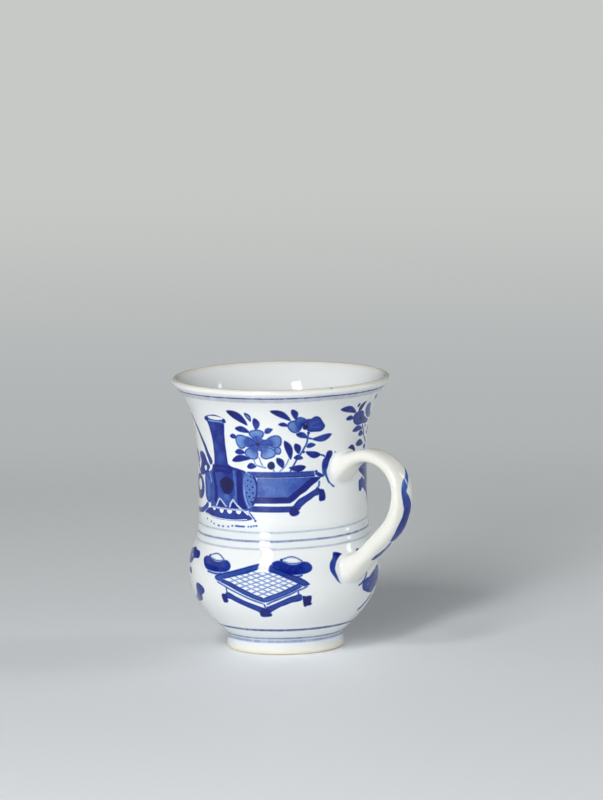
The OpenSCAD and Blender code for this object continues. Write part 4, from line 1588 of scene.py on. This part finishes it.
def porcelain(colours):
    """Glossy glaze over painted porcelain, bare on the land under the foot."""
    material, n = new_material("porcelain")
    place = n.add("ShaderNodeVectorMath", {"operation": "SCALE"}, Scale=1 / MM,
                  i0=n.add("ShaderNodeTexCoord").outputs["Object"]).outputs[0]
    height = n.add("ShaderNodeSeparateXYZ", Vector=place).outputs["Z"]
    base = painted_colour(n, place, glaze_colour(n, height, colours), colours)
    bare = n.eased(height, *BARE_ZONE)
    base = n.mix(bare, base, colours.bare)
    rough = n.maths("ADD", n.maths("MULTIPLY", bare, CLAY_ROUGHNESS), GLAZE_ROUGHNESS)
    wave = n.add("ShaderNodeTexNoise", Vector=place, Scale=WAVE_SCALE, Detail=1.0).outputs["Fac"]
    bump = n.add("ShaderNodeBump", Height=wave, Strength=WAVE_STRENGTH, Distance=WAVE_HEIGHT)
    shader = n.add("ShaderNodeBsdfPrincipled", Base_Color=base, Roughness=rough,
                   Normal=bump.outputs[0], IOR=1.5, Specular_IOR_Level=0.45)
    n.add("ShaderNodeOutputMaterial", Surface=shader.outputs[0])
    return material


def ring_mask(n, place, mottle):
    """All the rings, on the painted outside only, thicker and thinner with the brush."""
    group = ring_group()
    wander = n.add("ShaderNodeTexNoise", Vector=place, Scale=WANDER_SCALE, Detail=2.0)
    wander = n.maths("MULTIPLY", wander.outputs["Fac"], RING_WANDER)
    thick = n.maths("ADD", n.maths("MULTIPLY", mottle, RING_MOTTLE), 1.0)
    thick = n.maths("MULTIPLY", thick, n.attribute("ringed"))
    mask = 0.0
    for lean, rings in RING_SETS:
        leaned = n.vector("DOT_PRODUCT", place, (*lean, 1))["Value"]
        level = n.maths("ADD", leaned, wander)
        for z, half, soft, strength in rings:
            ring = n.group(group, Height=level, Level=z, Half_width=half, Softness=soft,
                           Strength=n.maths("MULTIPLY", thick, strength))
            mask = n.maths("MAXIMUM", mask, ring, clamp=True)
    return mask


def stain_mask(n, place):
    """All the small marks of wear and firing."""
    group = stain_group()
    mask = 0.0
    for where, size, strength in MARKS:
        stain = n.group(group, Vector=place, Place=where, Size=size, Strength=strength)
        mask = n.maths("MAXIMUM", mask, stain)
    return mask


# Stage

# The camera's place in millimetres and its angles in degrees, fitted to the photograph
CAMERA_PLACE = (1641.4, -1719.6, 421.9)
CAMERA_BEARING = 133.5
CAMERA_PITCH = 8.06
CAMERA_ROLL = 0.97
LENS = 315.0
SENSOR = 36.0
CLIP_END = 100.0
FLOOR_R = 6000.0
FLOOR_ROUGHNESS = 0.6
# Distances past the cup's axis, in metres, over which the floor's colour changes, the
# backdrop takes its place, and the backdrop's painted shade changes from darker low to lighter high
FLOOR_FADE = (-0.2, 0.35)
BACKDROP_START = (0.28, 0.5)
BACKDROP_FADE = (0.45, 1.5)
SKY_COLOUR = (0.95, 0.98, 1, 1)
LAMP_AIM_Z = 45


class Lamp(NamedTuple):
    """An area lamp: how far to the right of the camera and how high it stands in degrees, its
    distance, width and height in millimetres, whether the glaze mirrors it, and whether it
    lights the colours."""

    turn: float
    rise: float
    distance: float
    width: float
    tall: float
    shine: bool = True
    light: bool = True


LAMPS = {
    "key": Lamp(-23.5, 34, 1300, 215, 740),
    "glint": Lamp(-25.5, 18, 1300, 290, 520, light=False),
    "front": Lamp(-17, 13, 2600, 850, 750, shine=False),
    "left": Lamp(-95, 20, 1500, 900, 800),
    "side": Lamp(97, 22, 900, 90, 500),
    "low": Lamp(105, 8, 1200, 700, 260, shine=False),
}


def direction(bearing, rise):
    """The unit vector at a bearing from +X round to +Y and at an angle above the floor."""
    bearing, rise = math.radians(bearing), math.radians(rise)
    flat = math.cos(rise)
    return Vector((math.cos(bearing) * flat, math.sin(bearing) * flat, math.sin(rise)))


def camera():
    """Long lens on the photograph's viewpoint, turned a little about its own line of sight."""
    ahead = direction(CAMERA_BEARING, -CAMERA_PITCH)
    right = ahead.cross(Vector((0, 0, 1))).normalized()
    up = right.cross(ahead)
    turn = Matrix.Rotation(math.radians(CAMERA_ROLL), 3, ahead)
    right, up = turn @ right, turn @ up
    data = bpy.data.cameras.new("camera")
    data.lens = LENS
    data.sensor_width = SENSOR
    data.clip_end = CLIP_END
    thing = bpy.data.objects.new("camera", data)
    thing.matrix_world = Matrix.Translation(Vector(CAMERA_PLACE) * MM) @ Matrix(
        (right, up, -ahead)).transposed().to_4x4()
    bpy.context.collection.objects.link(thing)
    bpy.context.scene.camera = thing


def softbox(name, lamp, watts):
    """One of the lamps, aimed at the cup."""
    away = direction(CAMERA_BEARING + 180 + lamp.turn, lamp.rise)
    data = bpy.data.lights.new(name, "AREA")
    data.shape = "RECTANGLE"
    data.size, data.size_y = lamp.width * MM, lamp.tall * MM
    data.energy = watts
    thing = bpy.data.objects.new(name, data)
    thing.location = away * lamp.distance * MM + Vector((0, 0, LAMP_AIM_Z * MM))
    thing.rotation_mode = "QUATERNION"
    thing.rotation_quaternion = away.to_track_quat("Z", "Y")
    thing.visible_glossy = lamp.shine
    thing.visible_diffuse = lamp.light
    bpy.context.collection.objects.link(thing)


def floor(look):
    """A large plain floor. Its colour changes slowly from front to back, and far behind the cup
    the camera sees in its place a glowing backdrop with painted shade, darker low and lighter high."""
    mesh = bpy.data.meshes.new("floor")
    r = FLOOR_R * MM
    mesh.from_pydata([(-r, -r, 0), (r, -r, 0), (r, r, 0), (-r, r, 0)], [], [(0, 1, 2, 3)])
    material, n = new_material("floor")
    place = n.add("ShaderNodeTexCoord").outputs["Object"]
    depth = n.vector("DOT_PRODUCT", place, direction(CAMERA_BEARING, 0))["Value"]
    near = n.mix(n.eased(depth, *FLOOR_FADE), tuple(look.floor), tuple(look.far_floor))
    lit = n.add("ShaderNodeBsdfPrincipled", Base_Color=near, Roughness=FLOOR_ROUGHNESS)
    # The backdrop's glow carries painted shade: darker low behind the cup, lighter further back and
    # higher up
    far = n.mix(n.eased(depth, *BACKDROP_FADE), tuple(look.backdrop), tuple(look.far_backdrop))
    plain = n.add("ShaderNodeEmission", Color=far)
    path = n.add("ShaderNodeLightPath").outputs
    seen = n.maths("MAXIMUM", path["Is Camera Ray"], path["Is Glossy Ray"])
    share = n.maths("MULTIPLY", n.eased(depth, *BACKDROP_START), seen)
    both = n.add("ShaderNodeMixShader", Fac=share, i1=lit.outputs[0], i2=plain.outputs[0])
    n.add("ShaderNodeOutputMaterial", Surface=both.outputs[0])
    mesh.materials.append(material)
    thing = bpy.data.objects.new("floor", mesh)
    bpy.context.collection.objects.link(thing)
    return thing


def sky(strength):
    """Even pale light from all round."""
    world = bpy.data.worlds.new("sky")
    world.use_nodes = True
    background = world.node_tree.nodes["Background"]
    background.inputs["Color"].default_value = SKY_COLOUR
    background.inputs["Strength"].default_value = strength
    bpy.context.scene.world = world


# Operators and panel

class CUP_OT_cup(bpy.types.Operator):
    """Build the glazed and painted cup"""

    bl_idname = "cup.glazed"
    bl_label = "Glazed cup"

    def execute(self, context):
        s = sizes(context.scene.cup_shape)
        mesh = build_cup(s)
        colours = context.scene.cup_colours
        chosen = SimpleNamespace(
            **{name: tuple(getattr(colours, name)) for name in colours.__annotations__}
        )
        mesh.materials.append(porcelain(chosen))
        thing = bpy.data.objects.new("cup_glazed", mesh)
        context.collection.objects.link(thing)
        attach(thing, "root")
        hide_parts("cup")
        return {"FINISHED"}


class CUP_OT_stage(bpy.types.Operator):
    """Set up the floor, the lamps and the camera"""

    bl_idname = "cup.stage"
    bl_label = "Stage"

    def execute(self, context):
        look = context.scene.cup_stage
        floor(look)
        for name, lamp in LAMPS.items():
            softbox(name, lamp, getattr(look, name))
        sky(look.sky)
        camera()
        context.scene.view_settings.view_transform = "Standard"
        return {"FINISHED"}


class CUP_PT_panel(bpy.types.Panel):
    """Lists the parts of the cup and its stage"""

    bl_idname = "CUP_PT_panel"
    bl_label = "Handled cup"
    bl_space_type = "VIEW_3D"
    bl_region_type = "UI"
    bl_category = "Cup"

    def draw(self, context):
        scene = context.scene
        for group in (scene.cup_shape, scene.cup_colours, scene.cup_stage):
            box = self.layout.box()
            for name in group.__annotations__:
                box.prop(group, name)
        self.layout.operator(CUP_OT_cup.bl_idname)
        self.layout.operator(CUP_OT_stage.bl_idname)


CLASSES = (CupShape, CupColours, StageLook, CUP_OT_cup, CUP_OT_stage, CUP_PT_panel)


def register():
    for item in CLASSES:
        bpy.utils.register_class(item)
    bpy.types.Scene.cup_shape = PointerProperty(type=CupShape)
    bpy.types.Scene.cup_colours = PointerProperty(type=CupColours)
    bpy.types.Scene.cup_stage = PointerProperty(type=StageLook)


def unregister():
    del bpy.types.Scene.cup_stage
    del bpy.types.Scene.cup_colours
    del bpy.types.Scene.cup_shape
    for item in reversed(CLASSES):
        bpy.utils.unregister_class(item)


def main():
    register()
    bpy.ops.cup.glazed()
    bpy.ops.cup.stage()


if __name__ == "__main__":
    main()
